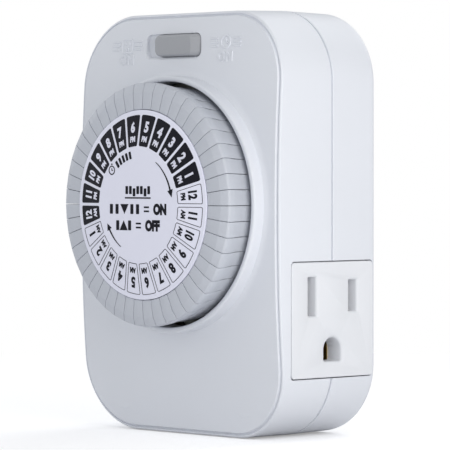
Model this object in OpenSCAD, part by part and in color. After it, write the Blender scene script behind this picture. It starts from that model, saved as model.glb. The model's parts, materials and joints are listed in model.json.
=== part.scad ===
// Plug-in daily timer switch: a two-part housing with a plug on its back and a grounded outlet
// on each side, a dial of push-in trip pins, a small motor drive and a trip-lever contact.
//
// Every module is drawn as if the timer lay on its back: x to the right seen from the front,
// y up the housing, z away from the wall. upright() then stands it up, so that the finished
// part has +X to the right, +Y into the wall and +Z up. The origin is the root of the ground
// pin, in the plane of the wall plate.

/* [Housing] */
// Width of the housing
body_w = 66.2; // [66:0.2:74]
// Height of the housing
body_h = 95; // [94:0.5:104]
// Depth from the wall plate to the front face
body_d = 30.8; // [30.4:0.2:34]
// Radius of the four corners seen from the front
corner_r = 15.2; // [14:0.2:16.4]
// Thickness of the moulded walls
wall_t = 2.2; // [1.8:0.1:2.4]
// Rounding of the front and rear edges
edge_r = 1.6; // [1:0.1:1.8]
// Distance from the wall to the seam between the two halves
seam_z = 15.16; // [14.8:0.1:16]
// Width and depth of the shadow groove along the seam
seam_groove = 0.3; // [0.2:0.05:0.5]
// Thickness of the locating lip inside the seam
lip_t = 0.9; // [0.7:0.1:1.1]
// Height of the locating lip
lip_h = 1.2; // [0.8:0.1:1.8]

/* [Housing screws] */
// Distance of the upper screws in from the housing's sides
upper_screw_in = 16.6; // [16.2:0.1:17]
// Distance of the upper screws below the top
upper_screw_drop = 7.5; // [7:0.1:8]
// Distance of the lower screws in from the housing's sides
lower_screw_in = 13.1; // [12.2:0.1:14.8]
// Height of the lower screws above the base
lower_screw_h = 8; // [7:0.1:8.4]
// Radius of the rear screw posts
post_r = 3.6; // [3.4:0.1:3.8]
// Radius of the front screw bosses
boss_r = 3.2; // [2.8:0.1:3.4]
// Radius of the screw heads
screw_head_r = 2.4; // [2.2:0.1:2.5]
// Radius of the screw shanks
screw_r = 1.2; // [1:0.1:1.4]
// Height of the screw heads
screw_head_h = 2; // [1.6:0.1:2.4]
// Depth of the screw heads inside their sleeves
screw_sink = 7; // [5:0.5:9]
// Reach of the screws past the seam
screw_reach = 8; // [6:0.5:10]

/* [Plug] */
// Height of the ground pin above the base
pin_h = 48; // [47:0.5:50]
// Distance between the two blades
blade_pitch = 12.7; // [12.4:0.1:13]
// Distance of the ground pin below the blades
ground_drop = 11.9; // [11.6:0.1:12.2]
// Radius of the ground pin
ground_r = 2.38; // [2.3:0.02:2.42]
// Length of the ground pin outside the housing
ground_l = 20.6; // [19:0.1:21]
// Radius of the ground pin's collar in the wall plate
ground_collar_r = 3; // [2.8:0.1:3.4]
// Radius of the ground pin's foot
ground_foot_r = 4.2; // [3.8:0.1:4.6]
// Thickness of the blades
blade_t = 1.52; // [1.4:0.02:1.6]
// Width of the line blade
line_blade_w = 6.35; // [6.2:0.05:6.6]
// Width of the neutral blade
neutral_blade_w = 7.92; // [7.6:0.02:8.1]
// Length of the blades outside the housing
blade_l = 17.5; // [16:0.1:18.3]
// Radius of the hole in each blade
blade_hole_r = 1.6; // [1.2:0.1:1.8]
// Distance of the blade holes from the wall plate
blade_hole_at = 11.9; // [11:0.1:12.6]
// Thickness of the feet of the blades and the ground pin
foot_t = 1; // [0.8:0.1:1.4]

/* [Outlets] */
// Height of the blade slots above the base
slot_h = 31.74; // [31:0.1:32.4]
// Distance of the outlet centre from the wall
outlet_z = 14.53; // [14.2:0.1:14.9]
// Height of the lower edge of the outlet plate above the base
plate_low = 13.5; // [13:0.1:14.5]
// Height of the outlet plate
plate_h = 26.1; // [25.6:0.1:26.6]
// Distance of the outlet plate's rear edge from the wall
plate_z = 1.7; // [1.6:0.1:2]
// Distance from the outlet plates to the front face
plate_front = 3.1; // [2.6:0.1:3.6]
// Corner radius of the outlet plate
plate_r = 1; // [0.5:0.1:1.6]
// Gap around the outlet plate
plate_gap = 0.12; // [0.08:0.02:0.2]
// Thickness of the flange behind each outlet plate
flange_t = 2.4; // [2:0.1:2.6]
// Width of the flange above the outlet plate
flange_lap = 1.4; // [1:0.1:1.6]
// Width of the blade slots
slot_w = 2.4; // [2:0.1:2.6]
// Length of the neutral slot
neutral_slot_l = 8.6; // [8.2:0.1:9]
// Length of the line slot
line_slot_l = 7; // [6.8:0.1:7.4]
// Lead-in chamfer of the slots
slot_chamfer = 0.8; // [0.4:0.1:1]
// Width of the ground hole
ground_hole_w = 5.4; // [5.2:0.1:5.8]
// Distance of the ground hole's flat side below its centre
ground_hole_flat = 2.5; // [2.3:0.1:2.8]

/* [Contact clips] */
// Length of the clips behind the outlet plates
clip_l = 15.7; // [15:0.1:16.4]
// Thickness of the clips' spring metal
clip_t = 0.6; // [0.4:0.05:0.7]
// Height of the clips
clip_h = 5; // [4:0.1:5.6]
// Gap between the leaves of a blade clip
blade_clip_gap = 1.6; // [1.55:0.05:1.8]
// Gap between the leaves of a ground clip
ground_clip_gap = 5; // [4.9:0.05:5.3]
// Thickness of the busbars
bar_t = 0.8; // [0.6:0.05:0.9]
// Width of the busbars
bar_w = 5; // [4:0.1:5]

/* [Dial] */
// Distance of the dial's axis below the top of the housing
dial_drop = 43.1; // [42.6:0.1:43.6]
// Distance from the collar's inside to the housing's side
collar_in = 5.45; // [5.2:0.05:5.6]
// Thickness of the collar's rounded lip
collar_t = 1.3; // [1.2:0.05:1.5]
// Height of the collar in front of the housing
collar_proud = 4.06; // [3.4:0.1:4.4]
// Width of the flare at the collar's foot
collar_flare = 1.3; // [0.8:0.1:1.6]
// Length of the collar's skirt inside the housing
skirt_l = 1.2; // [0.8:0.1:1.6]
// Height of the dial's label in front of the housing
label_proud = 11.13; // [10.8:0.1:11.6]
// Gap between the label and the trip pins
label_gap = 0.3; // [0.2:0.05:0.4]
// Thickness of the label
label_t = 0.4; // [0.3:0.05:0.6]
// Thickness of the drum's front disc
disc_t = 1.83; // [1.6:0.05:2.2]
// Overlap of the label past the drum
label_lap = 0.1; // [0:0.05:0.2]
// Thickness of the drum's cup
cup_t = 1.6; // [1.2:0.1:1.8]
// Distance of the guide ring in from the outside of the pins
ring_in = 1.1; // [0.8:0.1:1.4]
// Thickness of the guide ring
ring_t = 2.2; // [1.8:0.1:2.4]
// Distance of the guide ring's front behind the housing's face
ring_sink = 0.1; // [0:0.05:0.4]
// Radius of the drum's hub
hub_r = 5.2; // [4.8:0.1:5.8]

/* [Trip pins] */
// Number of trip pins, two for each hour
pin_count = 48; // [48:48:48]
// Distance that a pin is pushed in
pin_travel = 3; // [2.6:0.1:3]
// Gap between neighbouring pins
pin_gap = 0.25; // [0.2:0.05:0.4]
// Gap between the trip pins and the collar
pin_clear = 0.35; // [0.25:0.05:0.5]
// Length of a trip pin along the radius
pin_l = 6; // [5.8:0.05:6.1]
// Inward taper of the pin heads towards the housing
pin_taper = 0.9; // [0.5:0.1:1.2]
// Step from the label's face down to the pin heads' inner edge
pin_step = 0.18; // [0.1:0.02:0.4]
// Fall of the pin heads' faces from the inner edge to the bevel
pin_fall = 1; // [0.6:0.1:1.4]
// Height of the bevel around the pin heads
pin_bevel = 1.2; // [0.8:0.1:1.5]
// Length of the pin heads
head_l = 7.75; // [7.6:0.05:7.9]
// Width of the pin stems
stem_w = 1.3; // [1.1:0.1:1.4]
// Distance of the stems out from the inside of the pins
stem_in = 0.9; // [0.8:0.1:1.2]
// Depth of the pin stems
stem_d = 3; // [2.6:0.1:3.2]
// Length of the pin stems
stem_l = 6.2; // [6:0.05:6.3]
// Gap between a pin stem and its guide slot
stem_gap = 0.1; // [0.08:0.02:0.15]

/* [Drive] */
// Radius of the dial's axle post
axle_r = 3; // [2.6:0.1:3.2]
// Radial clearance of the turning shafts
run_gap = 0.05; // [0.03:0.01:0.08]
// Size of one gear tooth, its module
gear_m = 0.5; // [0.48:0.01:0.52]
// Teeth of the dial gear
dial_teeth = 60; // [60:12:60]
// Teeth of the output pinion
pinion_teeth = 12; // [12:12:12]
// Width of the gear teeth
gear_t = 2.4; // [2:0.1:2.6]
// Backlash between the gears
gear_play = 0.16; // [0.12:0.02:0.24]
// Direction from the dial axis to the output pinion
pinion_turn = 115; // [110:1:120]
// Radius of the pinion shaft
shaft_r = 1; // [0.8:0.1:1.1]
// Distance of the motor's axis in from the housing's inside
motor_in = 18.9; // [18.5:0.1:19.3]
// Height of the motor axis above the dial axis
motor_up = 21.1; // [20.8:0.1:21.4]
// Radius of the motor can
can_r = 10.8; // [10.4:0.1:11]
// Room for the leads behind the motor
lead_room = 1.2; // [1:0.1:1.6]
// Thickness of the motor can's sheet
can_t = 0.6; // [0.4:0.05:0.8]
// Thickness of the gearbox cover's walls
gearbox_t = 1; // [0.8:0.1:1.2]
// Height of the gearbox behind the frame
gearbox_l = 5.2; // [5:0.1:5.4]
// Radius of the motor's fixing ears
ear_r = 2.4; // [2.2:0.1:2.5]
// Radius of the rotor
rotor_r = 7.4; // [7:0.1:7.6]
// Room in front of the rotor
rotor_room = 1.8; // [1.4:0.1:2.4]
// Radius of the rotor shaft
rotor_shaft_r = 0.7; // [0.6:0.05:0.8]
// Gap between the rotor and the winding
air_gap = 0.8; // [0.6:0.1:1]

/* [Frame] */
// Distance of the frame's front face behind the housing's face
frame_sink = 7.4; // [7.3:0.1:7.6]
// Thickness of the frame plate
frame_t = 2; // [1.6:0.1:2.2]
// Gap between the frame and the sides of the housing
frame_gap = 1.6; // [1.4:0.1:2.6]
// Gap between the frame and the outlet flanges
frame_low_gap = 0.5; // [0.4:0.1:1]
// Distance of the frame plate's upper edge above the dial axis
frame_high = 31.7; // [31.2:0.1:31.9]
// Corner radius of the frame plate
frame_r = 5; // [3:0.5:5.4]
// Half width of the frame's leg between the outlets
leg_half_w = 6; // [5:0.1:7]
// Height of the leg's lower end above the base
leg_low = 12.5; // [12:0.1:13]
// Distance of the upper frame screws in from the frame's sides
frame_screw_in = 3.3; // [3.1:0.1:3.6]
// Height of the frame's upper screws above the dial axis
frame_screw_up = 27.1; // [26:0.1:27.6]
// Height of the leg's screw above the base
leg_screw_h = 17.5; // [17:0.1:18]

/* [Trip lever] */
// Direction from the dial axis to the lever's nose, in a gap between two pins
nose_turn = 45; // [45:7.5:45]
// Distance of the nose's middle out from the inside of the stems
nose_in = 1.9; // [1.7:0.1:2]
// Length of the nose along the radius
nose_l = 2.2; // [1.8:0.1:2.4]
// Width of the nose across the radius
nose_w = 1; // [0.8:0.05:1]
// Gap between the nose and the stems of pins that aren't pushed in
nose_gap = 0.35; // [0.3:0.05:0.5]
// Width of the lever
lever_w = 6; // [5.6:0.1:6.2]
// Height of the lever's pivot above the dial axis
pivot_up = 28.1; // [27.9:0.1:28.2]
// Distance of the lever's pivot behind the frame
pivot_back = 3; // [2.9:0.1:3.2]
// Radius of the pivot pin
pivot_r = 1; // [0.9:0.05:1.05]
// Radius of the lever's pivot boss
pivot_boss_r = 2.2; // [2:0.1:2.3]
// Thickness of the lever
lever_t = 1.6; // [1.4:0.1:1.7]
// Height of the lever's lower end above the dial axis
lever_end_up = 13.1; // [12.8:0.1:13.4]
// Thickness of the contact strips
strip_t = 0.5; // [0.4:0.05:0.6]
// Radius of the contact buttons
button_r = 1.6; // [1.4:0.1:1.7]
// Thickness of the contact buttons
button_t = 1; // [0.8:0.1:1]

/* [Override switch] */
// Sideways place of the switch opening
switch_x = -1.35; // [-1.6:0.05:-1.2]
// Distance of the switch opening below the top of the housing
switch_drop = 7.2; // [6.8:0.1:7.6]
// Length of the switch opening
switch_l = 17.4; // [17:0.1:18]
// Height of the switch opening
switch_w = 5.3; // [5:0.1:5.6]
// Corner radius of the switch opening
switch_r = 1.5; // [1:0.1:1.8]
// Depth of the recess that the knob slides in
recess_t = 1.4; // [1.2:0.1:1.5]
// Thickness of the recess floor
floor_t = 1.2; // [1:0.1:1.3]
// Travel of the knob
knob_travel = 2; // [1.6:0.1:2.4]
// Height of the knob in front of the housing
knob_proud = 0.7; // [0.4:0.1:1]
// Gap around the knob
knob_gap = 0.15; // [0.1:0.05:0.25]
// Length of the bevel on the knob's right end
knob_bevel = 2.25; // [1.5:0.05:2.6]

/* [Hidden] */
HOURS = 24;
HOUR_NAMES = [for (h = [0:HOURS - 1]) str("pins_", h < 10 ? "0" : "", h, "h")];
$fn = 96;

// Colours seen on the real object, and those usual inside one
shell_white = [0.86, 0.87, 0.90];
outlet_white = [0.91, 0.91, 0.93];
dial_grey = [0.73, 0.74, 0.76];
knob_grey = [0.62, 0.63, 0.66];
label_white = [0.87, 0.87, 0.94];
inner_grey = [0.80, 0.80, 0.78];
brass_gold = [0.80, 0.68, 0.38];
copper_red = [0.78, 0.48, 0.32];
steel_grey = [0.66, 0.66, 0.68];

// A cut is drawn this far past the surface that it opens
cut = 1;
// Gap between pieces that are pushed or slid together
slip = 0.1;

// Housing
base_y = -pin_h;
mid_y = base_y + body_h / 2;
top_y = base_y + body_h;
side_x = body_w / 2;
side_in = side_x - wall_t;
straight_x = body_w / 2 - corner_r;
straight_y = body_h / 2 - corner_r;
front_in = body_d - wall_t;
upper_screw_x = side_x - upper_screw_in;
lower_screw_x = side_x - lower_screw_in;
screw_places = [
    [upper_screw_x, top_y - upper_screw_drop], [-upper_screw_x, top_y - upper_screw_drop],
    [lower_screw_x, base_y + lower_screw_h], [-lower_screw_x, base_y + lower_screw_h]];
head_z = screw_sink + screw_head_h;
cross_w = 0.7;
cross_l = 2.8;
screw_tip_z = seam_z + screw_reach;
pilot_gap = 0.05;

// Outlets
slot_y = base_y + slot_h;
outlet_ground_y = slot_y - ground_drop;
plate_y = base_y + plate_low;
plate_d = body_d - plate_z - plate_front;
flange_top = plate_y + plate_h + flange_lap;
flange_front = front_in - skirt_l - slip;
clip_end = side_in - flange_t;
clip_start = clip_end - clip_l;
front_slot_z = outlet_z + blade_pitch / 2;
rear_slot_z = outlet_z - blade_pitch / 2;

// Plug and busbars
blade_y = ground_drop;
blade_nose = 1.2;
bar_z = wall_t + 3.4;
ground_foot_t = 2;
ground_bar_z = wall_t + ground_foot_t;
neutral_bar_top = blade_y + neutral_blade_w / 2 + 2;
crossing_y = slot_y + clip_h / 2 + 2.3;
crossing_w = 3.5;
clip_reach = blade_clip_gap / 2 + clip_t;
out_bar_x = clip_start - 4;

// Dial, from the wall outwards
dial_y = top_y - dial_drop;
collar_in_r = side_x - collar_in;
pin_out_r = collar_in_r - pin_clear;
pin_in_r = pin_out_r - pin_l;
stem_in_r = pin_in_r + stem_in;
ring_r = pin_out_r - ring_in;
label_r = pin_in_r - label_gap;
cup_r = label_r - label_lap;
label_z = body_d + label_proud;
disc_z = label_z - label_t;
ring_z = body_d - ring_sink - ring_t;
head_top_z = label_z - pin_step;
head_z0 = head_top_z - head_l;
stem_z0 = head_z0 - stem_l;
bevel_z = head_top_z - pin_fall;
bevel_in = 0.8;
bevel_out = 0.2;
pin_pitch = 360 / pin_count;

// Frame, hub and gears
frame_front = body_d - frame_sink;
frame_back = frame_front - frame_t;
shoulder_z = frame_front + 0.8;
hub_z = shoulder_z + 0.3;
gear_z = hub_z + 0.1;
hub_step = 1.2;
washer_t = 0.75;
washer_r = 4.4;
washer_gap = 0.5;
retainer_l = 4.5;
axle_tip_z = disc_z - 0.33 - washer_t;
bore_floor_z = axle_tip_z - 0.2;
gear_reach = gear_m * (dial_teeth + pinion_teeth) / 2;
pinion_x = gear_reach * cos(pinion_turn);
pinion_y = dial_y + gear_reach * sin(pinion_turn);
frame_low_y = flange_top + frame_low_gap;
frame_high_y = dial_y + frame_high;
frame_half_w = side_in - frame_gap;
frame_screw_x = frame_half_w - frame_screw_in;
frame_screws = [
    [frame_screw_x, dial_y + frame_screw_up], [-frame_screw_x, dial_y + frame_screw_up],
    [0, base_y + leg_screw_h]];

// Motor
motor_x = motor_in - side_in;
motor_y = dial_y + motor_up;
gearbox_z = frame_back - gearbox_l;
can_z = bar_z + bar_t + lead_room;
can_l = gearbox_z - can_z;
ear_reach = can_r + ear_r + 0.3;
ear_t = 1;
motor_screw_r = 1;
motor_head_h = 1.4;
motor_screw_l = 5;
frame_screw_l = 6;
rotor_lift = 1.2;
rotor_l = can_l - can_t - rotor_lift - rotor_room;
rotor_gear_t = 1.6;
lead_in = 8;
pinion_gap = 0.3;
collet_t = 0.8;

// Trip lever and contacts
nose_r = stem_in_r + nose_in;
nose_x = nose_r * cos(nose_turn);
nose_y = dial_y + nose_r * sin(nose_turn);
nose_tip_z = stem_z0 - nose_gap;
lever_x = nose_x;
pivot_y = dial_y + pivot_up;
pivot_z = frame_back - pivot_back;
lever_front = pivot_z + lever_t / 2;
lever_back = pivot_z - lever_t / 2;
lever_y = dial_y + lever_end_up;
strip_w = 4;
button_y = lever_y + strip_w / 2;
ear_gap = 0.3;
ear_w = 1.1;
pin_head_t = 0.4;
riser_x = lever_x + lever_w / 2 + ear_gap + ear_w + 2 * pin_head_t;
tab_z = pivot_z - 3.4;
fixed_z = pivot_z - 7.1;
meeting_y = button_y + 1;
block_x = lever_x + 7;
block_w = 4;
out_bar_z = fixed_z - strip_t - bar_t;
hole_half_w = 2.2;
hole_up = 2.1;
hole_down = 3.3;
nose_taper = 0.8;
neck_l = 5;
spring_l = 2;
spring_gap = 0.3;
spring_wire = 0.6;
spring_leg = 6.5;
neck_w = lever_w - spring_l - 2 * ear_gap;
spring_x = lever_x + lever_w / 2 - ear_gap / 2 - spring_l;

// Override switch
switch_y = top_y - switch_drop;
floor_z = body_d - recess_t;
knob_right = switch_x + switch_l / 2 - knob_gap;
knob_left = switch_x - switch_l / 2 + knob_gap + knob_travel;
knob_mid = (knob_left + knob_right) / 2;
stem_half_l = 3.5;
stem_half_w = 1.3;
carrier_t = 1;
carrier_lap = 1.3;

// ---- Shared shapes ----

module upright() rotate([90, 0, 0]) children();

// A rectangle with round corners, centred
module rounded(w, h, r) {
    square([w - 2 * r, h], center = true);
    square([w, h - 2 * r], center = true);
    for (x = [-1, 1], y = [-1, 1]) translate([x * (w / 2 - r), y * (h / 2 - r)]) circle(r);
}

// A box between two corners
module span(a, b) translate(a) cube(b - a);

// A profile, drawn as distance out from the corner axes and height, carried round the housing
module around_housing() {
    for (half = [0, 180]) translate([0, mid_y, 0]) rotate(half) {
        translate([straight_x, straight_y, 0]) rotate_extrude(angle = 90) children();
        translate([straight_x, straight_y, 0]) rotate([90, 0, 0])
            linear_extrude(2 * straight_y) children();
        translate([-straight_x, straight_y, 0]) rotate(90) {
            rotate_extrude(angle = 90) children();
            rotate([90, 0, 0]) linear_extrude(2 * straight_x) children();
        }
    }
}

// The flat middle of the front or rear plate
module middle_plate(z) translate([-straight_x, mid_y - straight_y, z])
    cube([2 * straight_x, 2 * straight_y, wall_t]);

// Half of the housing's outer section, with its outer edge rounded at the height h
module half_section(h) {
    square([corner_r - edge_r, h]);
    square([corner_r, h - edge_r]);
    translate([corner_r - edge_r, h - edge_r]) circle(edge_r);
}

// The windows in both sides that the outlet plates fill
module outlet_windows() for (side = [-1, 1])
    translate([side * (side_x - wall_t / 2), plate_y + plate_h / 2, plate_z + plate_d / 2])
        rotate([0, 90, 0]) translate([0, 0, -wall_t / 2 - cut])
            linear_extrude(wall_t + 2 * cut) rounded(plate_d, plate_h, plate_r);

// One spur gear's outline with straight-sided steps along its involute flanks
function involute(a) = tan(a) * 180 / PI - a;
function gear_points(teeth) = let (
    pitch_r = gear_m * teeth / 2,
    base_r = pitch_r * cos(20),
    root_r = pitch_r - 1.2 * gear_m,
    tip_r = pitch_r + 0.95 * gear_m,
    half = 90 / teeth - gear_play / pitch_r * 45 / PI,
    steps = 3,
    low_r = max(base_r, root_r),
    radii = [for (i = [0:steps]) low_r + (tip_r - low_r) * i / steps],
    leans = [for (r = radii) half + involute(20) - involute(acos(base_r / r))],
    flank = concat([[root_r, leans[0]]], [for (i = [0:steps]) [radii[i], leans[i]]]),
    count = len(flank))
    [for (t = [0:teeth - 1], i = [0:2 * count - 1]) let (
        p = i < count ? flank[i] : flank[2 * count - 1 - i],
        a = t * 360 / teeth + (i < count ? -p[1] : p[1])) [p[0] * cos(a), p[0] * sin(a)]];

// ---- Housing ----

module front_section() {
    difference() {
        translate([0, seam_z]) half_section(body_d - seam_z);
        translate([-cut, seam_z - cut]) square([corner_r - wall_t + cut, front_in - seam_z + cut]);
    }
    translate([corner_r - wall_t, seam_z - lip_h]) square([lip_t, 2 * lip_h]);
}

module rear_section() difference() {
    translate([0, seam_z]) mirror([0, 1]) half_section(seam_z);
    translate([-cut, wall_t]) square([corner_r - wall_t + cut, seam_z]);
    translate([corner_r - wall_t - cut, seam_z - lip_h - slip]) square([cut + lip_t + slip, lip_h + cut]);
    translate([corner_r - seam_groove, seam_z - seam_groove]) square(seam_groove + cut);
}

// The raised lip around the dial with its flared foot and its skirt inside
module collar() {
    lip_r = collar_t / 2;
    lip_z = body_d + collar_proud - lip_r;
    skirt_z = front_in - skirt_l;
    foot_r = collar_in_r + collar_t;
    rotate_extrude() {
        translate([collar_in_r, skirt_z]) square([collar_t, lip_z - skirt_z]);
        translate([collar_in_r + lip_r, lip_z]) circle(lip_r);
        polygon([
            [foot_r - lip_r, front_in + cut / 2], [foot_r + collar_flare, front_in + cut / 2],
            [foot_r + collar_flare, body_d], [foot_r, body_d + collar_flare],
            [foot_r - lip_r, body_d + collar_flare]]);
    }
}

module front_housing() color(shell_white) upright() difference() {
    union() {
        difference() {
            union() {
                around_housing() front_section();
                middle_plate(front_in);
                for (p = screw_places) translate([p.x, p.y, seam_z])
                    cylinder(h = front_in - seam_z + wall_t / 2, r = boss_r);
                for (p = frame_screws) translate([p.x, p.y, frame_front])
                    cylinder(h = front_in - frame_front + wall_t / 2, r = boss_r);
                translate([switch_x, switch_y, floor_z - floor_t])
                    linear_extrude(floor_t + recess_t / 2)
                        rounded(switch_l + 2 * wall_t, switch_w + 2 * wall_t, switch_r);
            }
            translate([0, dial_y, front_in - wall_t])
                cylinder(h = 3 * wall_t, r = collar_in_r + collar_t / 2);
        }
        translate([0, dial_y, 0]) collar();
    }
    for (p = screw_places) translate([p.x, p.y, seam_z - cut])
        cylinder(h = screw_reach + 2 * cut, r = screw_r + pilot_gap);
    for (p = frame_screws) translate([p.x, p.y, frame_front - cut])
        cylinder(h = front_in - frame_front, r = screw_r + pilot_gap);
    translate([switch_x, switch_y, floor_z]) linear_extrude(recess_t + cut)
        rounded(switch_l, switch_w, switch_r);
    span([knob_mid - stem_half_l - knob_travel - slip, switch_y - stem_half_w - slip,
            floor_z - floor_t - cut],
        [knob_mid + stem_half_l + slip, switch_y + stem_half_w + slip, body_d]);
    outlet_windows();
}

module rear_housing() color(shell_white) upright() difference() {
    union() {
        around_housing() rear_section();
        middle_plate(0);
        for (p = screw_places) translate([p.x, p.y, wall_t / 2])
            cylinder(h = seam_z - wall_t / 2, r = post_r);
    }
    for (p = screw_places) translate([p.x, p.y, 0]) {
        translate([0, 0, -cut]) cylinder(h = seam_z + 2 * cut, r = screw_r + slip);
        translate([0, 0, -cut]) cylinder(h = head_z + cut, r = screw_head_r + slip);
    }
    for (s = [[1, line_blade_w], [-1, neutral_blade_w]]) translate([s[0] * blade_pitch / 2, blade_y, 0])
        cube([blade_t + 2 * slip, s[1] + 2 * slip, 3 * wall_t], center = true);
    translate([0, 0, -cut]) cylinder(h = wall_t + 2 * cut, r = ground_collar_r + pilot_gap);
    outlet_windows();
}

module housing_screws() color(steel_grey) upright() for (p = screw_places) translate([p.x, p.y, 0])
    difference() {
        union() {
            translate([0, 0, screw_sink]) cylinder(h = screw_head_h, r = screw_head_r);
            translate([0, 0, head_z - cut]) cylinder(h = screw_tip_z - head_z + cut, r = screw_r);
        }
        for (a = [0, 90]) rotate(a) translate([0, 0, screw_sink])
            cube([cross_w, cross_l, screw_head_h], center = true);
    }

// ---- Outlets ----

// A straight slot with a chamfered mouth, cut inwards from the side face
module slot_cut(z, l) {
    translate([side_x, slot_y, z]) {
        translate([-wall_t - flange_t - cut, -l / 2, -slot_w / 2])
            cube([wall_t + flange_t + 2 * cut, l, slot_w]);
        intersection() {
            translate([0, l, 0]) rotate([90, 0, 0]) linear_extrude(2 * l) mouth(slot_w);
            translate([0, 0, -slot_w * 2]) linear_extrude(slot_w * 4) mouth(l);
        }
    }
}

// The flared mouth's section across a width w
module mouth(w) polygon([
    [-slot_chamfer, -w / 2], [-slot_chamfer, w / 2],
    [cut, w / 2 + slot_chamfer + cut], [cut, -w / 2 - slot_chamfer - cut]]);

// The ground hole, cut inwards along -z: round above and flat below, with a flared mouth
module ground_hole_cut() {
    depth = wall_t + flange_t + cut;
    half_w = ground_hole_w / 2 - 0.1;
    flare = slot_chamfer + cut;
    translate([0, 0, -depth]) cylinder(h = depth + cut, r = ground_hole_w / 2);
    translate([0, 0, -slot_chamfer])
        cylinder(h = flare, r1 = ground_hole_w / 2, r2 = ground_hole_w / 2 + flare);
    translate([-half_w, -ground_hole_flat, -depth]) cube([2 * half_w, ground_hole_flat, depth + cut]);
    intersection() {
        rotate([90, 0, 0]) linear_extrude(2 * ground_hole_w) polygon([
            [-half_w, -slot_chamfer], [half_w, -slot_chamfer],
            [half_w + flare, cut], [-half_w - flare, cut]]);
        rotate([90, 0, 90]) translate([0, 0, -ground_hole_w]) linear_extrude(2 * ground_hole_w) polygon([
            [-ground_hole_flat, -slot_chamfer], [0, -slot_chamfer], [0, cut],
            [-ground_hole_flat - flare, cut]]);
    }
}

// An outlet plate on the right-hand side; hot_z and neutral_z are its slots' distances from the wall
module outlet_face(hot_z, neutral_z) difference() {
    union() {
        translate([side_in - cut / 2, plate_y + plate_h / 2, plate_z + plate_d / 2]) rotate([0, 90, 0])
            linear_extrude(wall_t + cut / 2)
                rounded(plate_d - 2 * plate_gap, plate_h - 2 * plate_gap, plate_r);
        span([clip_end, base_y + corner_r, wall_t + slip],
            [side_in, flange_top, flange_front]);
    }
    slot_cut(hot_z, line_slot_l);
    slot_cut(neutral_z, neutral_slot_l);
    translate([side_x, outlet_ground_y, outlet_z]) rotate([0, 90, 0]) ground_hole_cut();
}

module outlet_face_right() color(outlet_white) upright() outlet_face(rear_slot_z, front_slot_z);

module outlet_face_left() color(outlet_white) upright() mirror([1, 0, 0])
    outlet_face(front_slot_z, rear_slot_z);

// A U-shaped spring clip whose open end meets the back of the right-hand outlet plate
module clip(y, z, gap) difference() {
    span([clip_start, y - clip_h / 2, z - gap / 2 - clip_t],
        [clip_end, y + clip_h / 2, z + gap / 2 + clip_t]);
    span([clip_start + clip_t, y - clip_h, z - gap / 2], [clip_end + cut, y + clip_h, z + gap / 2]);
}

module hot_clip_right() color(brass_gold) upright() clip(slot_y, rear_slot_z, blade_clip_gap);

module neutral_clip_right() color(brass_gold) upright() clip(slot_y, front_slot_z, blade_clip_gap);

module ground_clip_right() color(brass_gold) upright()
    clip(outlet_ground_y, outlet_z, ground_clip_gap);

module hot_clip_left() color(brass_gold) upright() mirror([1, 0, 0])
    clip(slot_y, front_slot_z, blade_clip_gap);

module neutral_clip_left() color(brass_gold) upright() mirror([1, 0, 0])
    clip(slot_y, rear_slot_z, blade_clip_gap);

module ground_clip_left() color(brass_gold) upright() mirror([1, 0, 0])
    clip(outlet_ground_y, outlet_z, ground_clip_gap);

// ---- Plug and busbars ----

// A flat blade with a chamfered tip, a hole and a foot inside the wall plate
module blade(x, w) translate([x, blade_y, 0]) {
    difference() {
        rotate([90, 0, 90]) translate([0, 0, -blade_t / 2]) linear_extrude(blade_t) polygon([
            [-w / 2, bar_z], [w / 2, bar_z], [w / 2, blade_nose - blade_l], [w / 2 - blade_nose, -blade_l],
            [blade_nose - w / 2, -blade_l], [-w / 2, blade_nose - blade_l]]);
        translate([0, 0, -blade_hole_at]) rotate([0, 90, 0])
            cylinder(h = 3 * blade_t, r = blade_hole_r, center = true);
    }
    translate([0, 0, wall_t + foot_t / 2]) cube([blade_t, w + 4 * foot_t, foot_t], center = true);
}

module line_blade() color(brass_gold) upright() blade(blade_pitch / 2, line_blade_w);

module neutral_blade() color(brass_gold) upright() blade(-blade_pitch / 2, neutral_blade_w);

// The round ground pin with its domed tip, turned as one piece with its collar and foot
module ground_pin() color(brass_gold) upright() rotate_extrude() {
    translate([0, ground_r - ground_l]) square([ground_r, ground_l - ground_r]);
    intersection() {
        translate([0, ground_r - ground_l]) circle(ground_r);
        translate([0, -ground_l]) square(ground_r);
    }
    square([ground_collar_r, wall_t]);
    translate([0, wall_t]) square([ground_foot_r, ground_foot_t]);
}

// From the neutral blade down, across to the rear left clip and up to the front right clip
module neutral_busbar() color(copper_red) upright() {
    bar_x = -blade_pitch / 2;
    span([bar_x - bar_w / 2, slot_y - clip_h / 2, bar_z],
        [bar_x + bar_w / 2, neutral_bar_top, bar_z + bar_t]);
    span([-clip_start, slot_y - clip_h / 2, bar_z], [bar_x, slot_y + clip_h / 2, bar_z + bar_t]);
    span([-clip_start, slot_y - clip_h / 2, bar_z],
        [bar_t - clip_start, slot_y + clip_h / 2, rear_slot_z + clip_reach]);
    span([bar_x, crossing_y, bar_z], [clip_start, crossing_y + crossing_w, bar_z + bar_t]);
    span([clip_start - bar_t, crossing_y, bar_z],
        [clip_start, crossing_y + crossing_w, front_slot_z + clip_reach]);
    span([clip_start - bar_t, slot_y - clip_h / 2, front_slot_z - clip_reach],
        [clip_start, crossing_y + crossing_w, front_slot_z + clip_reach]);
}

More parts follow.
